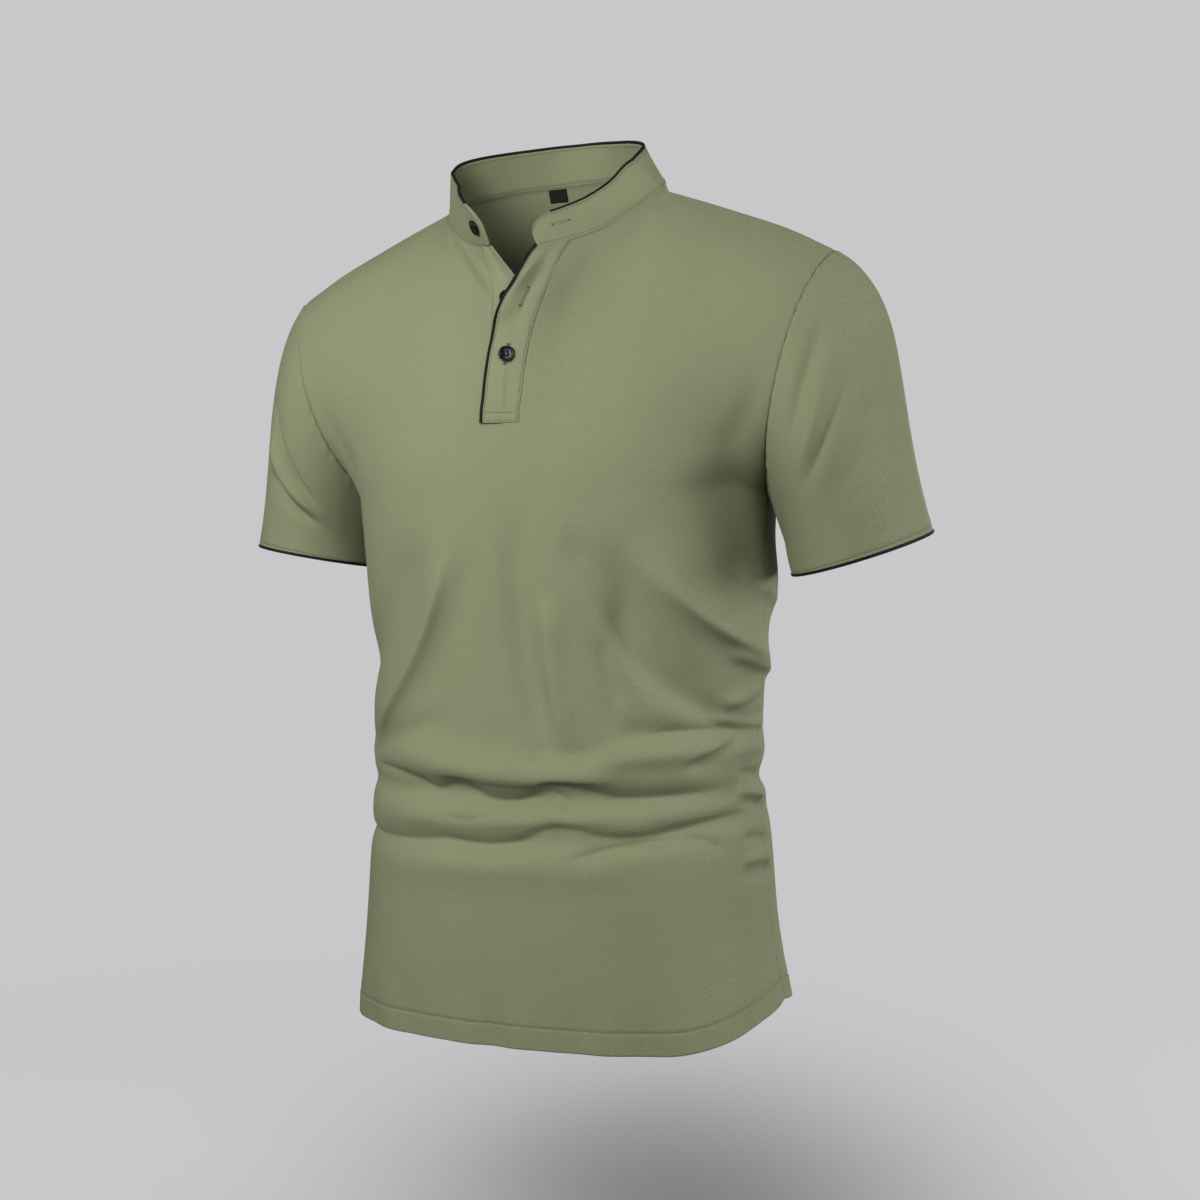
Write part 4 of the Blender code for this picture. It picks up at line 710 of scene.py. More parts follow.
def band_path(us, past):
    """The line the collar stands on, from the end at the wearer's right to the end at the left, and the
    place (-1 to 1) of each of its points. It runs on past the slit to the plackets' free edges."""
    right, left = panel(-us, 2.0, -1, -1), panel(us, 2.0, -1, 1)
    across = np.concatenate([-us[:0:-1], us])
    back = panel(across, 2.0, 1)
    step = ACROSS[1]
    right_way = unit(right[0] - panel(np.array([-step]), 2.0, -1, -1)[0])
    left_way = unit(left[0] - panel(np.array([step]), 2.0, -1, 1)[0])
    under = follow(1.0, OPENING, "under")[0]
    far = np.asarray(past)[::-1, None]
    right_end, left_end = right[0] + right_way * far * under, left[0] + left_way * far[::-1] * PLACKET_HALF
    line = np.concatenate([right_end, right[:-1], back, left[:-1][::-1], left_end])
    front = 0.5 + 0.5 * (1 - (COLLAR_PAST + ruler(us)) / COLLAR_STEPS)
    ends = 1 - 0.5 * COLLAR_PAST / COLLAR_STEPS * (1 - far[:, 0])
    behind = np.sign(across) * 0.5 * ruler(across) / ruler(NECK_AT)
    return line, np.concatenate([-ends, -front[:-1], behind, front[:-1][::-1], ends[::-1]])


def smoothed(rows, reach):
    """Unit rows, each turned towards those within reach of it, so that a stiff band doesn't kink at a
    corner."""
    for _ in range(3):
        wide = np.concatenate([np.repeat(rows[:1], reach, 0), rows, np.repeat(rows[-1:], reach, 0)])
        total = np.cumsum(np.concatenate([np.zeros((1, 3)), wide]), axis=0)
        rows = unit(total[2 * reach + 1 :] - total[: -2 * reach - 1])
    return rows


def band(line, w, ups):
    """The collar's outer face: rows go up from its seam, and each end is rounded. Also how far each of its
    points lies from the collar's free edge."""
    along = smoothed(unit(np.gradient(line, axis=0)), 9)
    inward = unit(np.cross(along, [0, 0, 1.0]))
    rise = unit(np.cross(inward, along))
    lean, high = np.moveaxis(follow(w, BAND, "lean", "high"), -1, 0)
    lean = np.radians(lean)[:, None]
    way = rise * np.cos(lean) + inward * np.sin(lean)
    far = reach_along(line)
    end = np.minimum(far, far[-1] - far)
    short = np.maximum(1 - end / BAND_ROUND, 0)
    ups = np.asarray(ups)[:, None]
    tall = high * (0.25 + 0.75 * np.sqrt(1 - short**2))
    grid = line + (ups * tall)[..., None] * way
    return grid, np.minimum((1 - ups) * tall, end + 0 * ups), ups * tall


def sunk(from_middle):
    """How far the front is let in under the plackets, by the distance from its middle towards the wearer's
    left, so that their stitched edges lie flush."""
    return 0.0015 + 0.0016 * ease(-0.004, 0.004, from_middle)


def strip(half, vs, over, wide, lift, raised=0.0):
    """A placket: rows go up it, columns run across it from -1 (its free edge) to 1 (its stitched edge). It
    is made from the panel's points, moved out, and past the slit it lies on the other half as far as the
    slit is shut. raised is how far its free side stands off over the button below it."""
    foot = middle_at(SLIT_FOOT)
    us = np.linspace(0, 0.30, 46)
    own_rows = cloth(half * us[None, :], vs[:, None], -1, half, fine=False)
    other_rows = cloth(-half * us[None, :], vs[:, None], -1, -half, fine=False)
    step = np.argmin(np.abs(us - ACROSS[1]))
    grid = []
    for v, width, own, other in zip(vs, wide, own_rows, other_rows):
        beyond = np.concatenate([own[:1], other])
        on = read_at(np.maximum(over, 0) * width, reach_along(own), own)
        on_other = read_at(np.maximum(-over, 0) * width, reach_along(beyond), beyond)
        straight = own[0] + unit(own[0] - own[step]) * np.maximum(-over, 0)[:, None] * width
        free = ease(0.50, 0.85, (v - foot) / (2 - foot))
        past = on_other + (straight - on_other) * free
        grid.append(np.where(over[:, None] > 0, on, past))
    grid = np.array(grid)
    out = unit(np.cross(np.gradient(grid, axis=1), np.gradient(grid, axis=0))) * half
    q = np.clip((vs - foot) / (2 - foot), 0, 1)[:, None]
    bump = ease(0.42, 0.62, q) * (1 - ease(0.80, 1, q)) * ease(0.2, -0.5, over)
    let_in = sunk(half * over * np.asarray(wide)[:, None])
    return grid + out * (lift - let_in + raised * bump)[..., None], out


# --- from grids to meshes
def grid_faces(rows, cols, flip=False):
    """The faces of a grid of points."""
    r, c = np.mgrid[0 : rows - 1, 0 : cols - 1]
    a = (r * cols + c).ravel()
    faces = np.stack([a, a + 1, a + cols + 1, a + cols], -1)
    return faces[:, ::-1] if flip else faces


def drawn_in(grid, amount, *edges):
    """Draws the named edges of a grid in along it, so that it stops short of the piece that it meets."""
    grid = grid.copy()
    rows, cols = unit(np.diff(grid, axis=0)), unit(np.diff(grid, axis=1))
    if "first row" in edges:
        grid[0] += rows[0] * amount
    if "last row" in edges:
        grid[-1] -= rows[-1] * amount
    if "first column" in edges:
        grid[:, 0] += cols[:, 0] * amount
    if "last column" in edges:
        grid[:, -1] -= cols[:, -1] * amount
    return grid


def sheet(name, points, faces, place, wall, drawn=None, relief=0.0, roll=0.0, seam=0.0):
    """A piece of cloth as arrays with one row per point. place is where the point lies on the flat cloth,
    in metres; relief moves both faces out, roll brings both faces together at an edge, and seam is 1 on a
    seam, where it gives the knit painted shade."""
    count = len(points)
    return {
        "name": name, "points": points, "faces": faces, "place": place,
        "wall": np.broadcast_to(wall, count), "drawn": points if drawn is None else drawn,
        "relief": np.broadcast_to(relief, count), "roll": np.broadcast_to(roll, count),
        "seam": np.broadcast_to(seam, count),
    }


def grid_sheet(name, grid, place, wall, flip=True, drawn=None, relief=0.0, roll=0.0, seam=0.0):
    """A sheet whose points and values are grids."""
    rows, cols = grid.shape[:2]
    drawn = grid if drawn is None else drawn
    s = sheet(
        name, grid.reshape(-1, 3), grid_faces(rows, cols, flip), np.reshape(place, (-1, 2)), np.ravel(wall),
        drawn.reshape(-1, 3), np.ravel(relief), np.ravel(roll), np.ravel(seam),
    )
    s["size"] = grid.shape
    return s


def shared_normals(groups):
    """Vertex normals of the sheets, so that two pieces end on one plane where they meet. A group's sheets
    go on in one another, and each group counts once."""
    sheets = [s for group in groups for s in group]
    points = np.concatenate([s["points"] for s in sheets])
    _, key = np.unique(np.round(points / 2e-5).astype(np.int64), axis=0, return_inverse=True)
    key = key.reshape(-1)
    total = np.zeros((key.max() + 1, 3))
    start = 0
    for group in groups:
        own = np.zeros_like(total)
        for s in group:
            a, b, c, d = (s["points"][s["faces"][:, k]] for k in range(4))
            normals = unit(np.cross(c - a, d - b))
            for k in range(4):
                np.add.at(own, key[start + s["faces"][:, k]], normals)
            start += len(s["points"])
        total += unit(own)
    start = 0
    for s in sheets:
        s["normals"] = unit(total[key[start : start + len(s["points"])]])
        start += len(s["points"])


def rolled(far, radius):
    """How far a face comes in at a rounded edge, by the distance from it."""
    inside = np.clip(radius - np.asarray(far), 0, radius)
    return radius - np.sqrt(radius**2 - inside**2)


def outer_face(s):
    return s["drawn"] + s["normals"] * (s["relief"] - s["roll"])[:, None]


def middle_face(s, wall):
    """The surface half way through a sheet's wall."""
    return outer_face(s) + s["normals"] * (s["roll"] - wall / 2)[:, None]


def face_grids(s):
    """A sheet's outer face and its normals as grids."""
    return outer_face(s).reshape(s["size"]), s["normals"].reshape(s["size"])


def make_mesh(name, points, faces, finish, place=None, seam=None):
    """A smooth-shaded object with its material, taking the place of an older one of that name."""
    old = bpy.data.objects.get(name)
    if old:
        bpy.data.objects.remove(old)
    mesh = bpy.data.meshes.new(name)
    mesh.from_pydata(np.asarray(points, float).tolist(), [], [tuple(f) for f in faces])
    mesh.materials.append(finish)
    mesh.shade_smooth()
    mesh.set_sharp_from_angle(angle=math.radians(58))
    if place is not None:
        corners = np.empty(len(mesh.loops), np.int32)
        mesh.loops.foreach_get("vertex_index", corners)
        layer = mesh.uv_layers.new(name="flat cloth")
        layer.uv.foreach_set("vector", np.asarray(place, np.float32)[corners].ravel())
    if seam is not None:
        layer = mesh.attributes.new("seam", "FLOAT", "POINT")
        layer.data.foreach_set("value", np.asarray(seam, np.float32))
    obj = bpy.data.objects.new(name, mesh)
    bpy.context.scene.collection.objects.link(obj)
    return obj


def ride(obj, slot, *nodes):
    """Puts a piece on the body, in the place of its solids, which it hides; slot is not used."""
    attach(obj, BODY_NAME)
    if nodes:
        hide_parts(*nodes)
    return obj


def close_wall(s, finish):
    """Closes a sheet into a wall: the outer face, the inner face and the rim all round."""
    count = len(s["points"])
    outer = outer_face(s)
    inner = outer - s["normals"] * (s["wall"] - 2 * s["roll"])[:, None]
    faces = s["faces"]
    first, second = faces.ravel(), np.roll(faces, -1, 1).ravel()
    size = 2 * count
    rim = ~np.isin(first * size + second, second * size + first)
    first, second = first[rim], second[rim]
    rims = np.stack([second, first, count + first, count + second], -1)
    every = np.concatenate([faces, count + faces[:, ::-1], rims])
    place = np.concatenate([s["place"], s["place"] + [3.0, 0]])  # the inside has loops of its own
    points, seam = np.concatenate([outer, inner]), np.tile(s["seam"], 2)
    return make_mesh(s["name"], points, every.tolist(), finish, place, seam)


def spokes(side, up, count, start=0.0):
    """The ways from the middle of a ring to its points."""
    turn = (np.arange(count) + start) * 2 * math.pi / count
    return np.cos(turn)[:, None] * side[..., None, :] + np.sin(turn)[:, None] * up[..., None, :]


def tube_points(line, radius, sides, way=(0.13, 0.31, 0.94)):
    """Rings of points round a line. way turns the first spoke towards a direction."""
    along = unit(np.gradient(line, axis=0))
    side = unit(np.cross(along, way))
    return line[:, None] + radius * spokes(side, np.cross(along, side), sides, 0.5)


def tube_faces(count, sides, closed=False):
    """The faces of a tube that runs along its normal's turning sense, with capped ends unless it closes on
    itself."""
    r, c = np.mgrid[0 : count if closed else count - 1, 0:sides]
    d, e = (c + 1) % sides, (r + 1) % count
    faces = np.stack([r * sides + c, r * sides + d, e * sides + d, e * sides + c], -1)
    faces = faces.reshape(-1, 4).tolist()
    if not closed:
        faces.append(list(range(sides))[::-1])
        faces.append(list(range((count - 1) * sides, count * sides)))
    return faces


def joined(shapes):
    """The points and the faces of several shapes as those of one."""
    points, faces, count = [], [], 0
    for some, these in shapes:
        faces += [[i + count for i in f] for f in these]
        points.append(some)
        count += len(some)
    return np.concatenate(points), faces


def stitch_row(line, out, trim):
    """Stitches along a line on the cloth: each a short round bar whose two ends dip into the cloth."""
    reach = reach_along(line)
    count = max(1, round(reach[-1] / trim.stitch))
    pitch = reach[-1] / count
    sides, rings = 5, 5
    t = np.linspace(0, 1, rings)
    far = (np.arange(count)[:, None] * pitch + pitch * (0.10 + 0.80 * t)).ravel()
    at, normal = read_at(far, reach, line), unit(read_at(far, reach, out))
    dip = np.tile((2 * t - 1) ** 4, count)[:, None]  # 1 at a stitch's ends
    at = at + normal * (trim.thread * (0.9 - 1.9 * dip) - STITCH_SINK)
    along = unit(np.gradient(at, axis=0))
    side = unit(np.cross(along, normal))
    radius = trim.thread * (1 - 0.35 * dip[:, None])
    points = at[:, None] + radius * spokes(side, np.cross(side, along), sides)
    one = [f[::-1] for f in tube_faces(rings, sides)]
    return joined((some, one) for some in points.reshape(count, -1, 3))


def make_stitches(name, rows, finish, slot):
    """One object for a group of stitch rows, each a line and its normals."""
    trim = bpy.context.scene.polo_trim
    points, faces = joined(stitch_row(line, out, trim) for line, out in rows)
    return ride(make_mesh(name, points, faces, finish), slot)


def declare(piece, cut, *more):
    """Looks up a piece's cut in the table of cuts, and does nothing more with it, the piece or its stitches.
    """
    cut = CUTS[cut]


# --- the pattern's pieces as sheets
def levels(cell):
    """Rows from the hem to the top edge."""
    long = ARMPIT - hem_height(0.0)
    low = graded(long, cell, NEAR_HEM)
    height = hem_height(0.0) + low * long
    waist = (height > WAIST[0]) & (height < WAIST[1])
    low = np.unique(np.concatenate([low, (low[:-1] + low[1:])[waist[1:]] / 2]))
    slit = middle_at(SLIT_FOOT) - 1
    high = 1 + graded(CHEST_SPAN, cell, (), NEAR_SEAM)
    high = high[np.abs(high - 1 - slit) > 0.3 * cell / CHEST_SPAN]
    return np.unique(np.concatenate([low, [1 + slit], high]))


def columns(cell):
    """Columns from the middle of a panel to its side."""
    return graded(SIDE_SPAN, cell, (), NEAR_SEAM)


def flat_places(u, vs):
    """Where the points of a panel lie on the flat cloth, up from the hem and across from the middle."""
    long = ARMPIT - hem_height(0.0)
    up = np.clip(vs, 0, 1) * long + np.clip(vs - 1, 0, 1) * CHEST_SPAN
    return np.stack(np.broadcast_arrays(u * SIDE_SPAN, up[:, None]), -1)


def seam_relief(far, dip):
    """The profile across a seam: the seam line sinks and the cloth beside it stands a little proud."""
    return -dip * bell(far, 0.0012) + 0.30 * dip * bell(far - 0.0042, 0.0026)


def ripple(at, *waves):
    """An uneven wave along a seam: each pair is a wavelength and an amplitude."""
    return sum(deep * np.sin(2 * math.pi * at / long + 7.3 * k) for k, (long, deep) in enumerate(waves))


def panel_relief(u, v, settings, half=0):
    """The seams and the hem of a panel: what stands out, what is rolled at the edge, the wall, and where
    the seams get painted shade.
    """
    hem = v * (ARMPIT - hem_height(u)) + 0 * u
    to_side = (1 - np.abs(u)) * SIDE_SPAN + 0 * v
    to_top = (2 - v) * CHEST_SPAN + 0 * u
    round_at = u * SIDE_SPAN + 0 * v
    relief = seam_relief(to_side, 0.4 * settings.seam_dip) * ease(0.0, 0.004, hem)
    on_shoulder = ease(NECK_AT - 0.01, NECK_AT + 0.01, np.abs(u))
    relief = relief + seam_relief(to_top, settings.seam_dip) * on_shoulder
    relief = relief - 0.0007 * bell(to_top, 0.0022) * (np.abs(u) < NECK_AT)
    if half:
        from_middle = np.abs(u) * PLACKET_SPAN
        under_it = ease(0.0130, 0.0105, from_middle) * ease(0, 0.006, v - middle_at(PLACKET_FOOT) - 0.004)
        relief = relief - sunk(half * from_middle) * under_it
    pucker = ripple(v * CHEST_SPAN * 1.6, (0.011, 0.00012), (0.017, 0.0001)) * bell(to_side - 0.004, 0.006)
    relief = relief + pucker
    # the hem: a band that stands a hair proud, its stitch line pulled in, small puckers above it
    band_part = ease(HEM_DEPTH + 0.0006, HEM_DEPTH - 0.0006, hem)
    relief = relief + 0.00030 * band_part - 0.00055 * bell(hem - HEM_DEPTH, 0.0009)
    uneven = ripple(round_at, (0.0093, 0.00016), (0.0142, 0.00014), (0.0061, 0.00008))
    relief = relief + uneven * bell(hem - HEM_DEPTH, 0.0065)
    relief = relief + ripple(round_at, (0.062, 0.0010), (0.039, 0.0006)) * ease(0.045, 0.0, hem)
    wall = settings.wall + (settings.hem_wall - settings.wall) * band_part
    roll = rolled(hem, 0.42 * settings.hem_wall)
    seam = np.maximum(0.3 * bell(to_side, 0.0016), bell(hem - HEM_DEPTH, 0.0012))
    seam = np.maximum(seam, bell(to_top, 0.0018))
    return relief, roll, wall, seam


def front_sheet(settings):
    """The front: two halves that share their middle column up to the foot of the slit."""
    vs, us = levels(settings.cell), columns(settings.cell)
    foot_row = int(np.argmin(np.abs(vs - middle_at(SLIT_FOOT))))
    rows, cols = len(vs), len(us)
    parts, index, faces = [], {}, []
    for half in (1, -1):
        u = half * us[None, :]
        grid = cloth(u, vs[:, None], -1, half)
        into = drawn_in(grid, GAP / 2, "last row", "last column")
        values = (grid, into, flat_places(u, vs), *panel_relief(u, vs[:, None], settings, half))
        parts.append([a.reshape(rows * cols, -1) for a in values])
        index[half] = np.arange(rows * cols).reshape(rows, cols) + (0 if half > 0 else rows * cols)
    index[-1][: foot_row + 1, 0] = index[1][: foot_row + 1, 0]
    for half, i in index.items():
        quad = np.stack([i[:-1, :-1], i[:-1, 1:], i[1:, 1:], i[1:, :-1]], -1).reshape(-1, 4)
        faces.append(quad[:, ::half])
    used, faces = np.unique(np.concatenate(faces), return_inverse=True)
    points, drawn, place, *values = (np.concatenate(pair)[used] for pair in zip(*parts))
    relief, roll, wall, seam = (a[:, 0] for a in values)
    return sheet("front_panel", points, faces.reshape(-1, 4), place, wall, drawn, relief, roll, seam)


def back_sheet(settings):
    """The back, cut in one."""
    vs, us = levels(settings.cell), columns(settings.cell)
    u = np.concatenate([-us[:0:-1], us])[None, :]
    grid = cloth(u, vs[:, None], 1)
    drawn = drawn_in(grid, GAP / 2, "last row", "first column", "last column")
    relief, roll, wall, seam = panel_relief(u, vs[:, None], settings)
    return grid_sheet("back_panel", grid, flat_places(u, vs), wall, True, drawn, relief, roll, seam)


def sleeve_sheet(name, settings):
    """A sleeve, from the armhole's seam to the cuff that holds the piping."""
    vs = levels(settings.cell)
    ring_points = armhole(CUFFS[name].side, vs[vs >= 1])
    down = graded(SLEEVE_LONG, settings.cell, NEAR_SEAM, NEAR_CUFF)
    grid, round_at = sleeve_grid(name, ring_points, down)
    from_seam = np.minimum(round_at, 1 - round_at)
    deeper = UNDERARM_GAP * ease(0.03, 0, from_seam)[:, None]
    drawn = drawn_in(grid, GAP / 2 + deeper, "first row")
    drawn = drawn_in(drawn, GAP / 2, "first column", "last column")
    t = down[:, None] * SLEEVE_LONG + 0 * round_at
    to_seam, to_cuff, around = from_seam * SLEEVE_ROUND + 0 * t, SLEEVE_LONG - t, round_at * SLEEVE_ROUND
    dip = settings.seam_dip
    at_armhole = ripple(round_at * 2 * CHEST_SPAN, (0.012, 0.0003), (0.019, 0.00022))
    at_cuff = ripple(around, (0.010, 0.00012), (0.016, 0.0001))
    relief = seam_relief(t, dip) + seam_relief(to_seam, dip) * ease(0, 0.006, t)
    relief = relief + at_armhole * bell(t - 0.005, 0.007) - 0.00045 * bell(to_cuff - 0.0028, 0.0008)
    relief = relief + at_cuff * bell(to_cuff - 0.003, 0.005)
    roll = rolled(to_cuff, 0.30 * settings.wall)
    seam = np.maximum.reduce([bell(t, 0.0016), bell(to_seam, 0.0016), bell(to_cuff - 0.0028, 0.0010)])
    place = np.stack([around + 0 * t, t], -1)
    flip = CUFFS[name].side > 0
    return grid_sheet(name + "_sleeve", grid, place, settings.wall, flip, drawn, relief, roll, seam)


def collar_sheet(settings):
    """The collar: a band, edge-stitched all round."""
    us = NECK_AT * graded(1, 0.012)
    line, w = band_path(us, graded(PLACKET_HALF, 0.0012)[1:])
    tall = follow(0.0, BAND, "high")[0]
    ups = graded(tall, 0.0011, (0.0004, 0.0012), (0.0004, 0.0009))
    grid, edge, from_seam = band(line, w, ups)
    drawn = drawn_in(grid, -COLLAR_LAP, "first row")
    relief = COLLAR_PROUD - 0.00035 * bell(edge - COLLAR_STITCH, 0.0007)
    relief = relief - 0.00035 * bell(from_seam - COLLAR_STITCH, 0.0007)
    relief = relief + 0.00025 * bell(from_seam - 0.0008, 0.0008)
    roll = rolled(np.minimum(edge, from_seam + 0.0004), 0.40 * settings.band_wall)
    seam = np.maximum(bell(edge - COLLAR_STITCH, 0.0009), bell(from_seam - COLLAR_STITCH, 0.0009))
    place = np.stack([reach_along(line) + 0 * from_seam, from_seam], -1)
    s = grid_sheet("collar_band", grid, place, settings.band_wall, True, drawn, relief, roll, seam)
    s["w"] = w
    return s


ClothValues = namedtuple("ClothValues", "wall hem_wall band_wall strip_wall cell seam_dip")


def kept(build):
    """Builds its sheets again only when one of the cloth's sizes has changed."""
    build = functools.lru_cache(maxsize=4)(build)

    def sheets():
        settings = bpy.context.scene.polo_cloth
        return build(ClothValues(*(getattr(settings, name) for name in ClothValues._fields)))

    return sheets


@kept
def body_sheets(settings):
    """The body's five sheets with the normals that they share: front, back, sleeves and collar."""
    sheets = [front_sheet(settings), back_sheet(settings)]
    sheets += [sleeve_sheet(name, settings) for name in CUFFS]
    sheets.append(collar_sheet(settings))
    shared_normals([sheets[:2], sheets[2:3], sheets[3:4], sheets[4:]])
    return sheets


def placket_sheet(name, half, wide_at, wall, lift, raised=0.0, folds=()):
    """A placket, with its back lift above the panel."""
    start, slit = middle_at(PLACKET_FOOT), middle_at(SLIT_FOOT)
    stop = 2 - 0.012 * (2 - slit)
    near = (0.0004, 0.0009, 0.0015)
    vs = start + (stop - start) * graded((stop - start) * CHEST_SPAN, 0.0011, near)
    over = 2 * graded(2 * PLACKET_HALF, 0.0009, near, near) - 1
    wide = wide_at(vs)
    grid, out = strip(half, vs, over, wide, lift + wall, raised)
    across = over[None, :] * wide[:, None]
    if folds:
        far = folded(over[None, :] + 0 * across, grid[..., 2], folds, PLACKET_HALF, 1.0, 40.0)
        grid = grid + out * far[..., None]
    free, sewn = (over[None, :] + 1) * wide[:, None], (1 - over[None, :]) * wide[:, None]
    low = np.linalg.norm(grid - grid[0], axis=-1)
    roll = rolled(np.minimum(np.minimum(free, sewn), low), 0.38 * wall)
    s = grid_sheet(name, grid, np.stack([across, low], -1), wall, half < 0, roll=roll)
    shared_normals([[s]])
    s.update(free=free, sewn=sewn, low=low, over=over, out=out, grid=grid)
    return s


@kept
def plackets(settings):
    """The under placket and the upper one."""
    foot, thin = middle_at(SLIT_FOOT), settings.strip_wall
    lift = UNDER_CLEAR + thin + CLEAR

    def under_wide(vs):
        return follow(np.clip((vs - foot) / (2 - foot), 0, 1), OPENING, "under")[:, 0]

    def upper_wide(vs):
        return np.full(len(vs), PLACKET_HALF)

    under = placket_sheet("under_placket", -1, under_wide, thin, UNDER_CLEAR)
    upper = placket_sheet("upper_placket", 1, upper_wide, settings.wall, lift, RAISED, PLACKET_FOLDS)
    # the rows of stitches pull the cloth in, and along them the knit gets painted shade
    low, free, sewn = upper["low"], upper["free"], upper["sewn"]
    rows = (free - PLACKET_STITCH, sewn - PLACKET_STITCH, low - BOX_STITCH, low - PLACKET_STITCH)
    pulled = np.maximum.reduce([bell(far, 0.0006) for far in rows]).ravel()
    upper.update(relief=-0.00035 * pulled, seam=pulled)
    pulled = bell(under["sewn"] - PLACKET_STITCH, 0.0007).ravel()
    under.update(relief=-0.00025 * pulled, seam=pulled)
    return under, upper


def surface_line(s, rows, cols):
    """A line on a sheet's outer face through fractional rows and columns, and its normals."""
    face, normal = face_grids(s)
    rows, cols = np.broadcast_arrays(np.asarray(rows, float), np.asarray(cols, float))
    r = np.clip(rows.astype(int), 0, s["size"][0] - 2)
    c = np.clip(cols.astype(int), 0, s["size"][1] - 2)
    a, b = (rows - r)[:, None], (cols - c)[:, None]

    def mix(g):
        low, high = g[r, c] * (1 - b) + g[r, c + 1] * b, g[r + 1, c] * (1 - b) + g[r + 1, c + 1] * b
        return low * (1 - a) + high * a

    return mix(face), unit(mix(normal))


# --- finishes
def give(tree, socket, value):
    """Links a socket to an input, or sets the input's own value."""
    if isinstance(value, bpy.types.NodeSocket):
        tree.links.new(value, socket)
    else:
        socket.default_value = value


def node(tree, kind, **values):
    """A shader node with its settings. in_ stands before the name or the number of an input."""
    made = tree.nodes.new("ShaderNode" + kind)
    for name, value in values.items():
        if name.startswith("in_"):
            key = name[3:]
            give(tree, made.inputs[int(key) if key.isdigit() else key.replace("_", " ")], value)
        else:
            setattr(made, name, value)
    return made


def calc(tree, operation, a, b=0.0):
    return node(tree, "Math", operation=operation, in_0=a, in_1=b).outputs[0]


def plus(tree, a, b):
    return calc(tree, "ADD", a, b)


def minus(tree, a, b):
    return calc(tree, "SUBTRACT", a, b)


def times(tree, a, b):
    return calc(tree, "MULTIPLY", a, b)


def scaled(tree, colour, by):
    return node(tree, "VectorMath", operation="SCALE", in_0=colour, in_3=by).outputs[0]


def ranged(tree, value, low, high, to_low, to_high):
    """A value that runs between two limits, brought between two others."""
    return node(tree, "MapRange", in_0=value, in_1=low, in_2=high, in_3=to_low, in_4=to_high).outputs[0]


def noise(tree, scale, detail, place=None, roughness=0.5):
    made = node(tree, "TexNoise", in_Scale=scale, in_Detail=detail, in_Roughness=roughness)
    if place is not None:
        tree.links.new(place, made.inputs["Vector"])
    return made.outputs["Fac"]


VECTOR, NUMBER, SHADE = "NodeSocketVector", "NodeSocketFloat", "NodeSocketColor"


def shader_group(name, inputs, outputs):
    """A maker of a shader node group with named inputs and outputs, which is built once. Each input is a
    name, a kind and a default."""

    def decorate(build):
        def group():
            if name in bpy.data.node_groups:
                return bpy.data.node_groups[name]
            tree = bpy.data.node_groups.new(name, "ShaderNodeTree")
            for label, kind, default in inputs:
                socket = tree.interface.new_socket(label, in_out="INPUT", socket_type=kind)
                if default is not None:
                    socket.default_value = default
            for label, kind in outputs:
                tree.interface.new_socket(label, in_out="OUTPUT", socket_type=kind)
            given = tree.nodes.new("NodeGroupInput").outputs
            made = tree.nodes.new("NodeGroupOutput").inputs
            for label, value in build(tree, given).items():
                tree.links.new(value, made[label])
            return tree

        return group

    return decorate


@shader_group(
    "Knit loops",
    [
        ("Flat cloth", VECTOR, None), ("Wale", NUMBER, 0.00175), ("Course", NUMBER, 0.0016),
        ("Unevenness", NUMBER, 0.12),
    ],
    [("Height", NUMBER), ("Gaps", NUMBER)],
)
def knit_loops(tree, given):
    """Rows and columns of knitted loops: each wale is a rounded rib crossed by V-shaped courses, set half a
    course apart from its neighbour."""
    split = node(tree, "SeparateXYZ", in_0=given["Flat cloth"]).outputs
    wander = noise(tree, 90.0, 1.0, given["Flat cloth"])
    wander = times(tree, minus(tree, wander, 0.5), given["Unevenness"])
    x = plus(tree, calc(tree, "DIVIDE", split[0], given["Wale"]), times(tree, wander, 3.0))
    y = plus(tree, calc(tree, "DIVIDE", split[1], given["Course"]), times(tree, wander, 4.0))
    arch = calc(tree, "ABSOLUTE", minus(tree, calc(tree, "FRACT", x), 0.5))
    rib = minus(tree, 1.0, times(tree, times(tree, arch, arch), 4.0))
    odd = times(tree, calc(tree, "PINGPONG", calc(tree, "FLOOR", x), 1.0), 0.5)
    phase = plus(tree, plus(tree, y, odd), times(tree, arch, 0.7))
    wave = calc(tree, "COSINE", times(tree, phase, 2 * math.pi))
    height = times(tree, rib, plus(tree, 0.62, times(tree, wave, 0.38)))
    return {"Height": height, "Gaps": minus(tree, 1.0, height)}


@shader_group(
    "Heather",
    [
        ("Flat cloth", VECTOR, None), ("Yarn", SHADE, (0.2, 0.2, 0.2, 1)),
        ("Light yarn", SHADE, (0.3, 0.3, 0.3, 1)), ("Gaps", NUMBER, 0.0), ("Seam", NUMBER, 0.0),
        ("Flecks", NUMBER, 0.5),
    ],
    [("Color", SHADE), ("Fuzz", NUMBER)],
)
def heather(tree, given):
    """Yarn of mixed fibres: short flecks along the wales and a faint cloudiness, with painted shade that
    darkens it between the loops and along the seams and rows of stitches."""
    place = given["Flat cloth"]
    squeezed = node(tree, "VectorMath", operation="MULTIPLY", in_0=place, in_1=(1300.0, 620.0, 1.0))
    fleck = noise(tree, 1.0, 2.0, squeezed.outputs[0], 0.65)
    cloud = noise(tree, 26.0, 3.0, place, 0.55)
    light = times(tree, ranged(tree, fleck, 0.40, 0.72, 0.0, 1.0), given["Flecks"])
    light = plus(tree, light, times(tree, minus(tree, cloud, 0.5), 0.30))
    mixed = node(tree, "Mix", data_type="RGBA", in_0=light, in_6=given["Yarn"], in_7=given["Light yarn"])
    # painted shade: the colour is darkened in the gaps between the loops and along the seams
    shade = minus(tree, 1.0, times(tree, given["Gaps"], 0.20))
    shade = times(tree, shade, minus(tree, 1.0, times(tree, given["Seam"], 0.10)))
    return {"Color": scaled(tree, mixed.outputs[2], shade), "Fuzz": fleck}


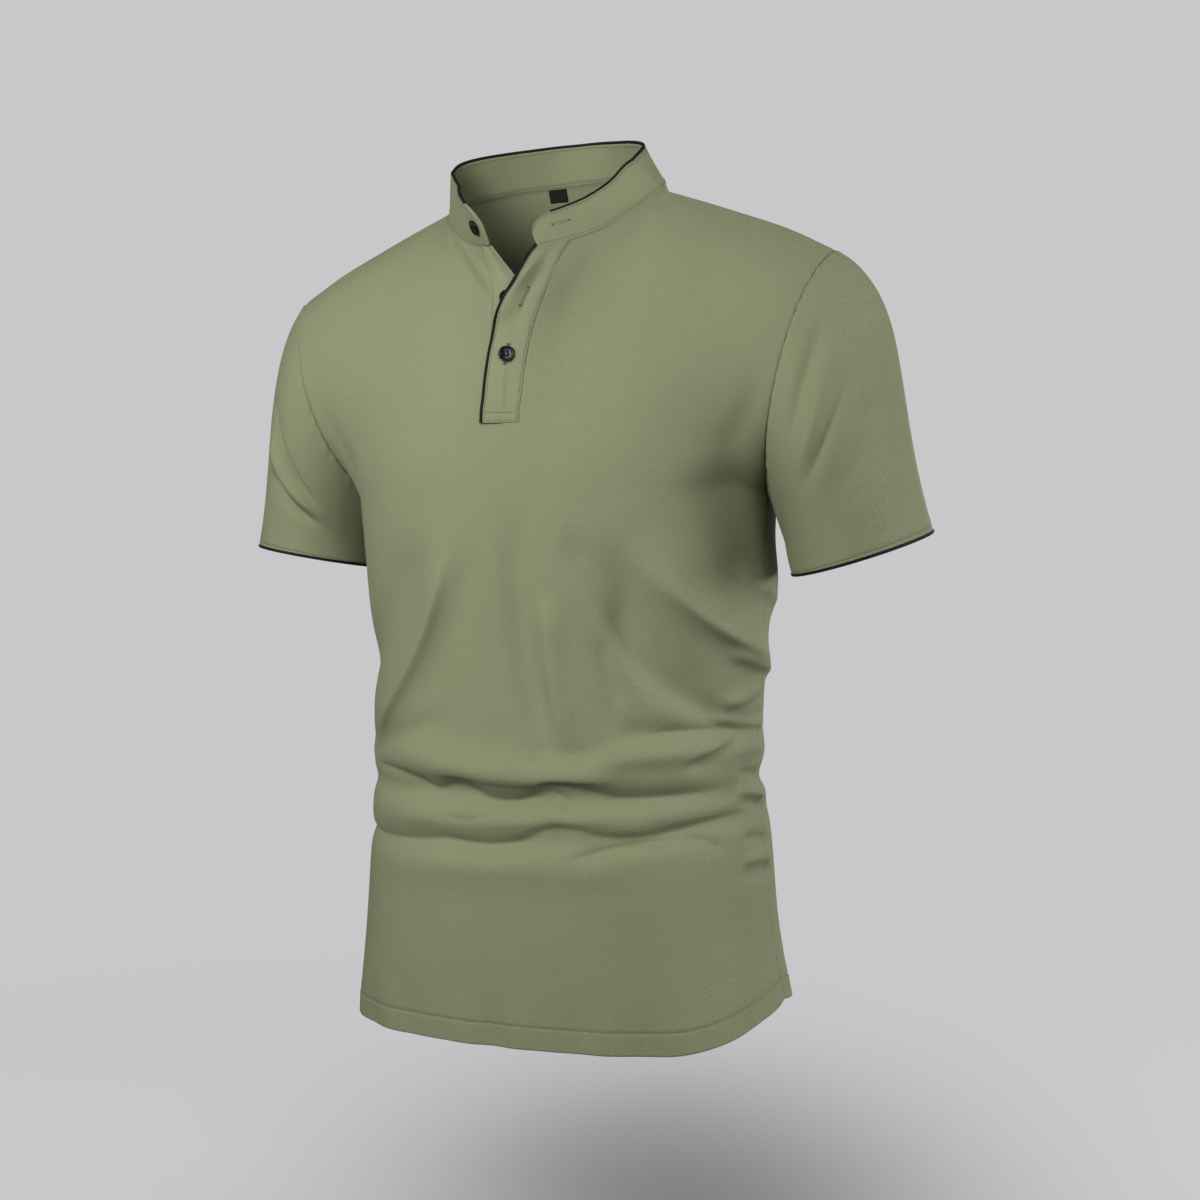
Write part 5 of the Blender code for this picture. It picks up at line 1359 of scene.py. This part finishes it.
@shader_group(
    "Twist",
    [("Flat cloth", VECTOR, None), ("Pitch", NUMBER, 0.0008), ("Slant", NUMBER, 0.6)],
    [("Height", NUMBER)],
)
def twist(tree, given):
    """The slanting ribs of a twisted cord or of bias-cut binding."""
    split = node(tree, "SeparateXYZ", in_0=given["Flat cloth"]).outputs
    slanted = plus(tree, split[0], times(tree, split[1], given["Slant"]))
    turns = calc(tree, "DIVIDE", slanted, given["Pitch"])
    return {"Height": calc(tree, "ABSOLUTE", calc(tree, "SINE", times(tree, turns, math.pi)))}


def grouped(tree, group, **values):
    """A shader node group placed in a material with its own values, which may be sockets."""
    made = tree.nodes.new("ShaderNodeGroup")
    made.node_tree = group
    for name, value in values.items():
        give(tree, made.inputs[name.replace("_", " ")], value)
    return made.outputs


def finish_of(name, dress):
    """The material of that name, dressed when it is first asked for. dress gives the Principled shader's
    inputs."""
    if name in bpy.data.materials:
        return bpy.data.materials[name]
    finish = bpy.data.materials.new(name)
    finish.use_nodes = True
    tree = finish.node_tree
    shader = tree.nodes["Principled BSDF"]
    for label, value in dress(tree).items():
        give(tree, shader.inputs[label], value)
    return finish


def raised(tree, height, distance, strength=1.0):
    """The normal of a surface that stands out by a height."""
    return node(tree, "Bump", in_Height=height, in_Distance=distance, in_Strength=strength).outputs[0]


def knit_finish(name, finer, bump, flecks, sheen):
    """Knitted cotton: loops in relief, heather colour with painted shade between the loops and along the
    seams, a soft sheen and a rough surface.
    """

    def dress(tree):
        settings = bpy.context.scene.polo_cloth
        wale, course = finer * settings.wale, finer * settings.course
        place = node(tree, "UVMap", uv_map="flat cloth").outputs[0]
        seam = node(tree, "Attribute", attribute_name="seam").outputs["Fac"]
        loops = grouped(tree, knit_loops(), Flat_cloth=place, Wale=wale, Course=course)
        yarn = grouped(
            tree, heather(), Flat_cloth=place, Yarn=(*settings.knit_colour, 1),
            Light_yarn=(*settings.light_yarn, 1), Gaps=loops["Gaps"], Seam=seam, Flecks=flecks,
        )
        height = plus(tree, loops["Height"], times(tree, yarn["Fuzz"], 0.3))
        return {
            "Base Color": yarn["Color"], "Normal": raised(tree, height, bump),
            "Roughness": ranged(tree, yarn["Fuzz"], 0.3, 0.7, 0.78, 0.92), "Sheen Weight": sheen,
            "Sheen Roughness": 0.42, "Sheen Tint": (0.93, 0.95, 0.86, 1), "Specular IOR Level": 0.22,
        }

    return finish_of(name, dress)


def body_knit():
    return knit_finish("Olive knit", 1.0, 0.00017, 0.85, 0.07)


def collar_knit():
    return knit_finish("Olive collar knit", 0.8, 0.00013, 0.50, 0.06)


# Binding, thread and satin: the setting that holds their colour, and their ribs.
Ribs = namedtuple("Ribs", "colour pitch roughness bump sheen")
RIBBED = {
    "Black piping": Ribs("black", 0.0009, 0.75, 0.00010, 0.01),
    "Olive thread": Ribs("thread_colour", 0.0004, 0.70, 0.00004, 0.15),
    "Buttonhole thread": Ribs("hole_colour", 0.0004, 0.70, 0.00004, 0.10),
    "Bar tack thread": Ribs("bar_colour", 0.0004, 0.70, 0.00004, 0.15),
    "Black thread": Ribs("black", 0.0004, 0.60, 0.00004, 0.10),
    "Black satin label": Ribs("black", 0.0005, 0.60, 0.00003, 0.03),
}


def ribbed(name):
    """The finish of a piece with slanting ribs in relief, with painted shade in the grooves between them and
    painted light on their crests.
    """
    ribs = RIBBED[name]

    def dress(tree):
        colour = tuple(getattr(bpy.context.scene.polo_trim, ribs.colour))
        place = node(tree, "UVMap", uv_map="flat cloth").outputs[0]
        turns = grouped(tree, twist(), Flat_cloth=place, Pitch=ribs.pitch)["Height"]
        fluff = noise(tree, 2600.0, 2.0)
        return {
            # painted shade and light: the colour is darker in the grooves and lighter on the crests of the
            # ribs
            "Base Color": scaled(tree, colour, plus(tree, 0.72, times(tree, turns, 0.36))),
            "Normal": raised(tree, plus(tree, turns, times(tree, fluff, 0.4)), ribs.bump),
            "Roughness": ranged(tree, fluff, 0.3, 0.7, ribs.roughness - 0.08, ribs.roughness + 0.08),
            "Sheen Weight": ribs.sheen, "Specular IOR Level": 0.3,
        }

    return finish_of(name, dress)


def button_finish():
    """Moulded black resin: polished, with fine turning marks and a few scuffs."""

    def dress(tree):
        red, green, blue = bpy.context.scene.polo_trim.black
        place = node(tree, "TexCoord").outputs["Object"]
        scuffs = noise(tree, 900.0, 4.0, place, 0.6)
        shade = ranged(tree, noise(tree, 260.0, 2.0, place), 0.35, 0.7, 0.8, 2.2)
        return {
            "Base Color": scaled(tree, (red, green, blue * 1.25), shade),
            "Roughness": ranged(tree, scuffs, 0.35, 0.75, 0.14, 0.30),
            "Normal": raised(tree, scuffs, 0.00002, 0.6), "Specular IOR Level": 0.20,
        }

    return finish_of("Black button", dress)


# --- operators, one for each piece or group of like pieces
class POLO_OT_body(bpy.types.Operator):
    """Sew the front and the back, with the stitches of their hem."""

    bl_idname = "polo.body"
    bl_label = "Front and Back"

    def execute(self, context):
        for s, name in zip(body_sheets()[:2], ("front", "back")):
            piece = ride(close_wall(s, body_knit()), "knit", name)
            at_hem = np.abs(s["place"][:, 1] - HEM_DEPTH) < 1e-4
            if at_hem.sum() < 2:
                raise RuntimeError("the hem's row of stitches has no row of points to lie on")
            order = np.argsort(s["place"][at_hem, 0])
            line = outer_face(s)[at_hem][order], s["normals"][at_hem][order]
            hem = make_stitches(name + "_hem_stitches", [line], ribbed("Olive thread"), "knit")
            declare(piece, name, hem)
        return {"FINISHED"}


class POLO_OT_sleeves(bpy.types.Operator):
    """Set in both sleeves, with the stitches that hold the piping at their cuffs."""

    bl_idname = "polo.sleeves"
    bl_label = "Sleeves"

    def execute(self, context):
        for s, name in zip(body_sheets()[2:4], CUFFS):
            piece = ride(close_wall(s, body_knit()), "knit", "sleeve_" + name)
            face, normal = face_grids(s)
            to_cuff = SLEEVE_LONG - s["place"][:, 1].reshape(s["size"][:2])[:, 0]
            row = np.argmin(np.abs(to_cuff - CUFF_STITCH))
            line = face[row], normal[row]
            stitches = make_stitches(name + "_cuff_stitches", [line], ribbed("Olive thread"), "knit")
            declare(piece, name, stitches)
        return {"FINISHED"}


class POLO_OT_collar(bpy.types.Operator):
    """Set the band collar on the neckline, edge-stitched all round."""

    bl_idname = "polo.collar"
    bl_label = "Collar"

    def execute(self, context):
        s = body_sheets()[4]
        piece = ride(close_wall(s, collar_knit()), "collar_knit", "collar")
        face = face_grids(s)[0]
        up = np.linalg.norm(face - face[:1], axis=-1)
        far = reach_along(face[0])
        cols = np.flatnonzero((far > COLLAR_STITCH) & (far < far[-1] - COLLAR_STITCH))
        lines = []
        for wanted in (0 * up[-1] + COLLAR_STITCH, up[-1] - COLLAR_STITCH):
            rows = [np.interp(wanted[c], up[:, c], np.arange(len(up))) for c in cols]
            lines.append(surface_line(s, rows, cols))
        lines += [(line - out * context.scene.polo_cloth.band_wall, -out) for line, out in lines]
        stitches = make_stitches("collar_stitches", lines, ribbed("Olive thread"), "collar_knit")
        declare(piece, "collar", stitches)
        return {"FINISHED"}


def column_at(s, side, inset):
    """The fractional column of a line that runs up a placket, inset from one of its edges."""
    turn = 1 if side == "free" else -1
    places = np.arange(s["size"][1])[::turn]
    return np.array([np.interp(inset, far[::turn], places) for far in s[side]])


class POLO_OT_plackets(bpy.types.Operator):
    """Sew on the under placket and the upper one, with its edge stitches and its boxed foot."""

    bl_idname = "polo.plackets"
    bl_label = "Plackets"

    def execute(self, context):
        under, upper = plackets()
        rows = np.arange(upper["size"][0])
        low = upper["low"][:, upper["size"][1] // 2]
        start, box = np.interp([PLACKET_STITCH, BOX_STITCH], low, rows)
        up = np.arange(math.ceil(start), len(rows))
        edges = [column_at(upper, side, PLACKET_STITCH) for side in ("free", "sewn")]
        lines = [surface_line(upper, up, edge[up]) for edge in edges]
        for row in (start, box):
            ends = [np.interp(row, rows, edge) for edge in edges]
            lines.append(surface_line(upper, np.full(30, row), np.linspace(*ends, 30)))
        under_rows = np.arange(under["size"][0])
        under_lines = [surface_line(under, under_rows, column_at(under, "sewn", PLACKET_STITCH))]
        for s, name, sewn in ((upper, "upper", lines), (under, "under", under_lines)):
            stitches = make_stitches(name + "_placket_stitches", sewn, ribbed("Olive thread"), "knit")
            declare(ride(close_wall(s, body_knit()), "knit", "placket_" + name), name, stitches)
        return {"FINISHED"}


def make_cord(name, line, solid, closed=False, sides=14):
    """Piping: a round cord along a line, cut at its ends unless it closes on itself."""
    radius = bpy.context.scene.polo_trim.pipe
    if closed:
        rings = tube_points(np.concatenate([line[-1:], line, line[:1]]), radius, sides)[1:-1]
    else:
        rings = tube_points(line, radius, sides)
    turn = np.arange(sides) / sides * 2 * math.pi * radius
    place = np.stack(np.broadcast_arrays(reach_along(line)[:, None], turn[None, :]), -1).reshape(-1, 2)
    faces = tube_faces(len(line), sides, closed)
    return ride(make_mesh(name, rings.reshape(-1, 3), faces, ribbed("Black piping"), place), "piping", solid)


class POLO_OT_piping(bpy.types.Operator):
    """Run the piping along the collar, the placket's free edge and round the cuffs."""

    bl_idname = "polo.piping"
    bl_label = "Piping"

    def execute(self, context):
        settings, radius = context.scene.polo_cloth, context.scene.polo_trim.pipe
        past = PIPE_SET * radius
        sheets, upper = body_sheets(), plackets()[1]
        edge = upper["grid"][:, 0]
        along = unit(np.gradient(edge, axis=0))
        way = edge - upper["grid"][:, 1]
        way = unit(way - (way * along).sum(1, keepdims=True) * along)
        line = edge + way * past + upper["out"][:, 0] * (radius - settings.wall)
        make_cord("placket_piping", line, "piping_placket")

        def past_edge(s, wall):
            mid = middle_face(s, wall).reshape(s["size"])
            return mid[-1] + unit(mid[-1] - mid[-4]) * past

        keep = np.abs(sheets[4]["w"]) < PIPE_TO
        make_cord("collar_piping", past_edge(sheets[4], settings.band_wall)[keep], "piping_collar")
        for s, name in zip(sheets[2:4], CUFFS):
            line = past_edge(s, settings.wall)[:-1]
            make_cord(name + "_cuff_piping", line, "piping_sleeve_" + name, closed=True)
        return {"FINISHED"}


# A button's profile, as a share of its radius and a height off the cloth: back, rim and the dished face.
RIM = (
    (0.62, 0.0), (0.80, 0.00003), (0.92, 0.00025), (0.975, 0.0007), (1.0, 0.0012), (0.985, 0.00165),
    (0.95, 0.00195), (0.90, 0.0021), (0.84, 0.0021), (0.78, 0.00195), (0.72, 0.0017), (0.66, 0.00155),
    (0.58, 0.00148),
)
DISH = 0.00148  # height of its dished face
HOLE_AT = 0.30  # from its middle to a hole's, in radii
HOLE = 0.15  # a hole's own radius, in radii


def axes_of(out):
    """A button's own axes: to its side, up and out of its face."""
    out = unit(np.asarray(out, float))
    up = np.array([0, 0, 1.0])
    up = unit(up - np.dot(up, out) * out)
    return np.cross(up, out), up, out


def make_button(name, at, out, radius):
    """A four-hole button: a turned body, cut by four round holes, its edges softened."""
    side, up, out = axes_of(out)
    turns, hole_turns = 48, 20
    rings = [at + radius * spokes(side, up, turns) * far + high * out for far, high in RIM]
    body = make_mesh(name, np.concatenate(rings), tube_faces(len(rings), turns), button_finish())
    hole = HOLE * radius * spokes(side, up, hole_turns)
    cutters = []
    for k, way in enumerate(spokes(side, up, 4, 0.5)):
        centre = at + HOLE_AT * radius * way
        points = np.concatenate([centre + hole - 0.001 * out, centre + hole + 0.004 * out])
        cutters.append(make_mesh(f"{name}_hole_{k}", points, tube_faces(2, hole_turns), button_finish()))
        body.modifiers.new("hole", "BOOLEAN").object = cutters[-1]
    bevel = body.modifiers.new("soft edges", "BEVEL")
    bevel.width, bevel.segments = 0.00012, 2
    bevel.limit_method, bevel.angle_limit = "ANGLE", math.radians(50)
    finished = bpy.data.meshes.new_from_object(body.evaluated_get(bpy.context.evaluated_depsgraph_get()))
    body.modifiers.clear()
    body.data = finished
    for cutter in cutters:
        bpy.data.objects.remove(cutter)
    finished.shade_smooth()
    finished.set_sharp_from_angle(angle=math.radians(40))
    return body


def make_button_thread(name, at, out, radius):
    """The thread that holds a button: two bars of three strands through its holes, and its shank behind."""
    side, up, out = axes_of(out)
    thick, reach = 0.00024, HOLE_AT * radius * math.sqrt(0.5)
    half = ((1.0, -0.0003), (1.0, DISH - 0.0004), (0.86, DISH + 0.0002), (0.4, DISH + 0.00035))
    path = [(-b, h) for b, h in half] + list(half[::-1])
    shapes = []
    for across in (-1, 1):
        for strand in (-1, 0, 1):
            start = at + side * (across * reach + strand * 0.9 * thick)
            bar = np.array([start + up * reach * b + out * h for b, h in path])
            shapes.append((tube_points(bar, thick, 8, side).reshape(-1, 3), tube_faces(len(bar), 8)))
    return ride(make_mesh(name, *joined(shapes), ribbed("Black thread")), "button")


def on_placket(s, height):
    """A place on the middle of a placket at a height, and the way its face looks."""
    face, normal = face_grids(s)
    column = int(np.argmin(np.abs(s["over"])))
    z = face[:, column, 2]
    return read_at(height, z, face[:, column]), unit(read_at(height, z, normal[:, column]))


def on_collar(s, side, inset, share):
    """A place on the collar's outer face near one of its ends, its normal and the way along the collar."""
    face, normal = face_grids(s)
    if side > 0:
        face, normal = face[:, ::-1], normal[:, ::-1]
    row, far = int(share * (len(face) - 1)), reach_along(face[0])
    at, ahead = read_at(inset, far, face[row]), read_at(inset + 0.002, far, face[row])
    return at, unit(read_at(inset, far, normal[row])), unit(ahead - at)


class POLO_OT_buttons(bpy.types.Operator):
    """Sew on the three buttons."""

    bl_idname = "polo.buttons"
    bl_label = "Buttons"

    def execute(self, context):
        under, upper = plackets()
        radius = context.scene.polo_trim.button
        places = {
            "front": on_placket(upper, BUTTON_HEIGHTS[0]),
            "under": on_placket(under, BUTTON_HEIGHTS[1]),
            "collar": on_collar(body_sheets()[4], -1, COLLAR_BUTTON_IN, 0.5)[:2],
        }
        for name, (at, way) in places.items():
            seat = at + way * SEAT
            ride(make_button(name + "_button", seat, way, radius), "button", "button_" + name)
            make_button_thread(name + "_button_thread", seat, way, radius)
        return {"FINISHED"}


def make_buttonhole(name, at, out, along, slot):
    """A worked buttonhole: two rows of close satin stitches beside a slit, and a bar tack at each end."""
    out = unit(out)
    along = unit(along - np.dot(along, out) * out)
    side = np.cross(out, along)
    half, step, wide, thick = HOLE_LONG[name] / 2, 0.00042, 0.0012, 0.00022
    worked, bars = [], []

    def strand(a, b):
        line = np.array([a, a * 0.75 + b * 0.25 + out * thick, a * 0.25 + b * 0.75 + out * thick, b])
        return tube_points(line, thick, 6, out).reshape(-1, 3), tube_faces(4, 6)

    for row in (-1, 1):
        for t in np.arange(-half, half, step):
            inner, outer = row * 0.00025, row * (wide + 0.00010 * math.sin(t * 9100 + row))
            worked.append(strand(at + along * t + side * inner, at + along * (t + 0.0001) + side * outer))
    for end in (-1, 1):
        for k in range(3):
            spot = at + along * end * (half + 0.0002 + 0.0004 * k)
            bars.append(strand(spot - side * wide, spot + side * wide))
    name = name + "_buttonhole"
    ride(make_mesh(name + "_stitches", *joined(worked), ribbed("Buttonhole thread")), slot)
    ride(make_mesh(name + "_bars", *joined(bars), ribbed("Bar tack thread")), slot)


class POLO_OT_buttonholes(bpy.types.Operator):
    """Work the buttonholes of the collar and the upper placket."""

    bl_idname = "polo.buttonholes"
    bl_label = "Buttonholes"

    def execute(self, context):
        upper = plackets()[1]
        make_buttonhole("collar", *on_collar(body_sheets()[4], 1, *HOLE_SPOT), "collar_knit")
        for name, height in zip(("front", "under"), BUTTON_HEIGHTS):
            at, way = on_placket(upper, height)
            above = on_placket(upper, height + 0.003)[0]
            make_buttonhole(name, at, way, above - at, "knit")
        return {"FINISHED"}


class POLO_OT_label(bpy.types.Operator):
    """Sew the bare size label inside the back of the neck."""

    bl_idname = "polo.label"
    bl_label = "Label"

    def execute(self, context):
        settings = context.scene.polo_cloth
        us, vs = np.linspace(*LABEL_SIDES, 25), 2 - np.linspace(*LABEL_ENDS, 21)
        grid = cloth(us[None, :], vs[:, None], 1, fine=False)
        inward = unit(np.cross(np.gradient(grid, axis=0), np.gradient(grid, axis=1)))
        grid = grid + inward * (settings.wall + GAP + settings.strip_wall)
        x, y = np.linalg.norm(grid - grid[:, :1], axis=-1), np.linalg.norm(grid - grid[:1], axis=-1)
        edge = np.minimum.reduce([x, x[:, -1:] - x, y[-1:] - y])
        roll = rolled(edge, 0.4 * settings.strip_wall)
        s = grid_sheet("size_label", grid, np.stack([x, y], -1), settings.strip_wall, roll=roll)
        shared_normals([[s]])
        piece = ride(close_wall(s, ribbed("Black satin label")), "label", "neck_label")
        row = surface_line(s, np.full(12, 1.4), np.linspace(1, len(us) - 2, 12))
        declare(piece, "label", make_stitches("label_stitches", [row], ribbed("Black thread"), "label"))
        return {"FINISHED"}


# --- the stage
# A square soft light: azimuth 0 is in front of the wearer and 90 at the wearer's left, power names its
# setting, and aim is the height on the centre line that it looks at.
Lamp = namedtuple("Lamp", "name azimuth elevation distance size power colour aim")
LAMPS = (
    Lamp("Key", -10, 15, 1.2, 0.65, "key_power", (1.0, 0.998, 0.985), -0.15),
    Lamp("Fill", -60, 30, 2.2, 1.0, "fill_power", (1.0, 1.0, 1.0), -0.30),
    Lamp("Side", 52, 16, 2.2, 0.9, "side_power", (1.0, 1.0, 1.0), -0.30),
    Lamp("Back", 172, 10, 2.2, 1.0, "fill_power", (1.0, 1.0, 1.0), -0.30),
    Lamp("Rim", 108, 12, 2.2, 0.8, "rim_power", (0.98, 0.99, 1.0), -0.30),
)
ROOM_LIGHT = (0.97, 0.98, 1.0, 1)
FLOOR_COLOUR = (0.110, 0.111, 0.113)
FLOOR_PLACE = (0.02, 0.02)
FLOOR_RADIUS = 1.5
FADE_FROM = 0.45  # from here outwards the floor goes over into the backdrop
SHADE_AT = (0.066, 0.018, 0)  # the pool of shade on the floor under the polo
SHADE_TURN = 0.415
SHADE_SIZE = (0.23, 0.457, 1)
SHADE_DEEP = 0.70
FLOOR_GLOW = 0.88


def room(stage):
    """The backdrop's plain colour for the camera, and a little even light."""
    world = bpy.data.worlds.new("Studio")
    world.use_nodes = True
    tree = world.node_tree
    tree.nodes.clear()
    seen = node(tree, "Background", in_Color=(*stage.backdrop, 1), in_Strength=1.0)
    light = node(tree, "Background", in_Color=ROOM_LIGHT, in_Strength=stage.ambient)
    camera = node(tree, "LightPath").outputs["Is Camera Ray"]
    which = node(tree, "MixShader", in_0=camera, in_1=light.outputs[0], in_2=seen.outputs[0])
    node(tree, "OutputWorld", in_0=which.outputs[0])
    return world


def soft_light(lamp, power):
    """Stands a light round the shirt and turns it to its aim."""
    a, e = math.radians(lamp.azimuth), math.radians(lamp.elevation)
    way = Vector((math.sin(a) * math.cos(e), -math.cos(a) * math.cos(e), math.sin(e)))
    data = bpy.data.lights.new(lamp.name, "AREA")
    data.size, data.energy, data.color = lamp.size, power, lamp.colour
    obj = bpy.data.objects.new(lamp.name, data)
    obj.location = Vector((0, 0, lamp.aim)) + lamp.distance * way
    obj.rotation_euler = (-way).to_track_quat("-Z", "Y").to_euler()
    bpy.context.scene.collection.objects.link(obj)


def floor_finish(stage):
    """A pale matt floor with a faint grain, a pool of shade under the shirt, and a soft edge."""

    def dress(tree):
        place = node(tree, "TexCoord").outputs["Object"]
        grain = ranged(tree, noise(tree, 3.0, 2.0, place), 0.3, 0.7, 0.985, 1.015)
        pool = node(
            tree, "Mapping", vector_type="TEXTURE", in_0=place, in_1=SHADE_AT, in_2=(0, 0, SHADE_TURN),
            in_3=SHADE_SIZE,
        ).outputs[0]
        pool = node(tree, "VectorMath", operation="LENGTH", in_0=pool).outputs["Value"]
        pool = calc(tree, "EXPONENT", times(tree, times(tree, pool, pool), -1.0))
        lit = times(tree, minus(tree, 1.0, times(tree, pool, SHADE_DEEP)), FLOOR_GLOW)
        seen = node(tree, "LightPath").outputs["Is Camera Ray"]
        far = node(tree, "VectorMath", operation="LENGTH", in_0=place).outputs["Value"]
        fade = node(
            tree, "MapRange", interpolation_type="SMOOTHERSTEP", in_0=far, in_1=FADE_FROM, in_2=FLOOR_RADIUS,
            in_3=1.0, in_4=0.0,
        ).outputs[0]
        return {
            "Base Color": scaled(tree, FLOOR_COLOUR, grain), "Roughness": 0.9, "Specular IOR Level": 0.1,
            "Emission Color": (*stage.backdrop, 1), "Emission Strength": times(tree, seen, lit),
            "Alpha": fade,
        }

    return finish_of("Pale floor", dress)


def make_floor(stage, turns=96, rings=24):
    """A round floor."""
    circle = spokes(np.array([1.0, 0, 0]), np.array([0, 1.0, 0]), turns)
    points = np.concatenate([[[0, 0, 0]]] + [circle * FLOOR_RADIUS * (k + 1) / rings for k in range(rings)])
    faces = [[0, 1 + k, 1 + (k + 1) % turns] for k in range(turns)]
    for r in range(rings - 1):
        a, b = 1 + r * turns, 1 + (r + 1) * turns
        for k in range(turns):
            j = (k + 1) % turns
            faces.append([a + k, b + k, b + j, a + j])
    floor = make_mesh("floor", points, faces, floor_finish(stage))
    floor.location = (*FLOOR_PLACE, stage.floor)


def make_camera(stage):
    """A camera that looks level at the shirt, and stands a little aside, as the photograph's view does."""
    data = bpy.data.cameras.new("Camera")
    data.sensor_width, data.lens = 36.0, stage.lens
    data.clip_start, data.clip_end = 0.05, 30
    camera = bpy.data.objects.new("Camera", data)
    bpy.context.scene.collection.objects.link(camera)
    sine, cosine = math.sin(stage.azimuth), math.cos(stage.azimuth)
    x, y = stage.distance * sine + stage.aside * cosine, stage.aside * sine - stage.distance * cosine
    camera.location = (x, y, stage.height)
    camera.rotation_euler = (math.pi / 2, 0, stage.azimuth)
    bpy.context.scene.camera = camera


class POLO_OT_stage(bpy.types.Operator):
    """Set up the floor, the backdrop, the lights and the camera."""

    bl_idname = "polo.stage"
    bl_label = "Stage"

    def execute(self, context):
        stage = context.scene.polo_stage
        context.scene.view_settings.view_transform = "Standard"
        context.scene.world = room(stage)
        for lamp in LAMPS:
            soft_light(lamp, getattr(stage, lamp.power))
        make_floor(stage)
        make_camera(stage)
        return {"FINISHED"}


class POLO_PT_panel(bpy.types.Panel):
    """The shirt's settings and the buttons that make it."""

    bl_idname = "POLO_PT_panel"
    bl_label = "Polo Shirt"
    bl_space_type = "VIEW_3D"
    bl_region_type = "UI"
    bl_category = "Polo Shirt"

    def draw(self, context):
        for group in (context.scene.polo_cloth, context.scene.polo_trim, context.scene.polo_stage):
            box = self.layout.box()
            for name in group.__annotations__:
                box.prop(group, name)
        for operator in OPERATORS:
            self.layout.operator(operator.bl_idname)


OPERATORS = (
    POLO_OT_body,
    POLO_OT_sleeves,
    POLO_OT_collar,
    POLO_OT_plackets,
    POLO_OT_piping,
    POLO_OT_buttons,
    POLO_OT_buttonholes,
    POLO_OT_label,
    POLO_OT_stage,
)
SETTINGS = {"polo_cloth": PoloClothSettings, "polo_trim": PoloTrimSettings, "polo_stage": PoloStageSettings}


def register():
    for kind in (*SETTINGS.values(), *OPERATORS, POLO_PT_panel):
        bpy.utils.register_class(kind)
    for name, kind in SETTINGS.items():
        setattr(bpy.types.Scene, name, PointerProperty(type=kind))


def unregister():
    for name in SETTINGS:
        delattr(bpy.types.Scene, name)
    for kind in (POLO_PT_panel, *OPERATORS[::-1], *list(SETTINGS.values())[::-1]):
        bpy.utils.unregister_class(kind)


def main():
    register()
    bpy.ops.polo.body()
    bpy.ops.polo.sleeves()
    bpy.ops.polo.collar()
    bpy.ops.polo.plackets()
    bpy.ops.polo.piping()
    bpy.ops.polo.buttons()
    bpy.ops.polo.buttonholes()
    bpy.ops.polo.label()
    bpy.ops.polo.stage()


if __name__ == "__main__":
    main()
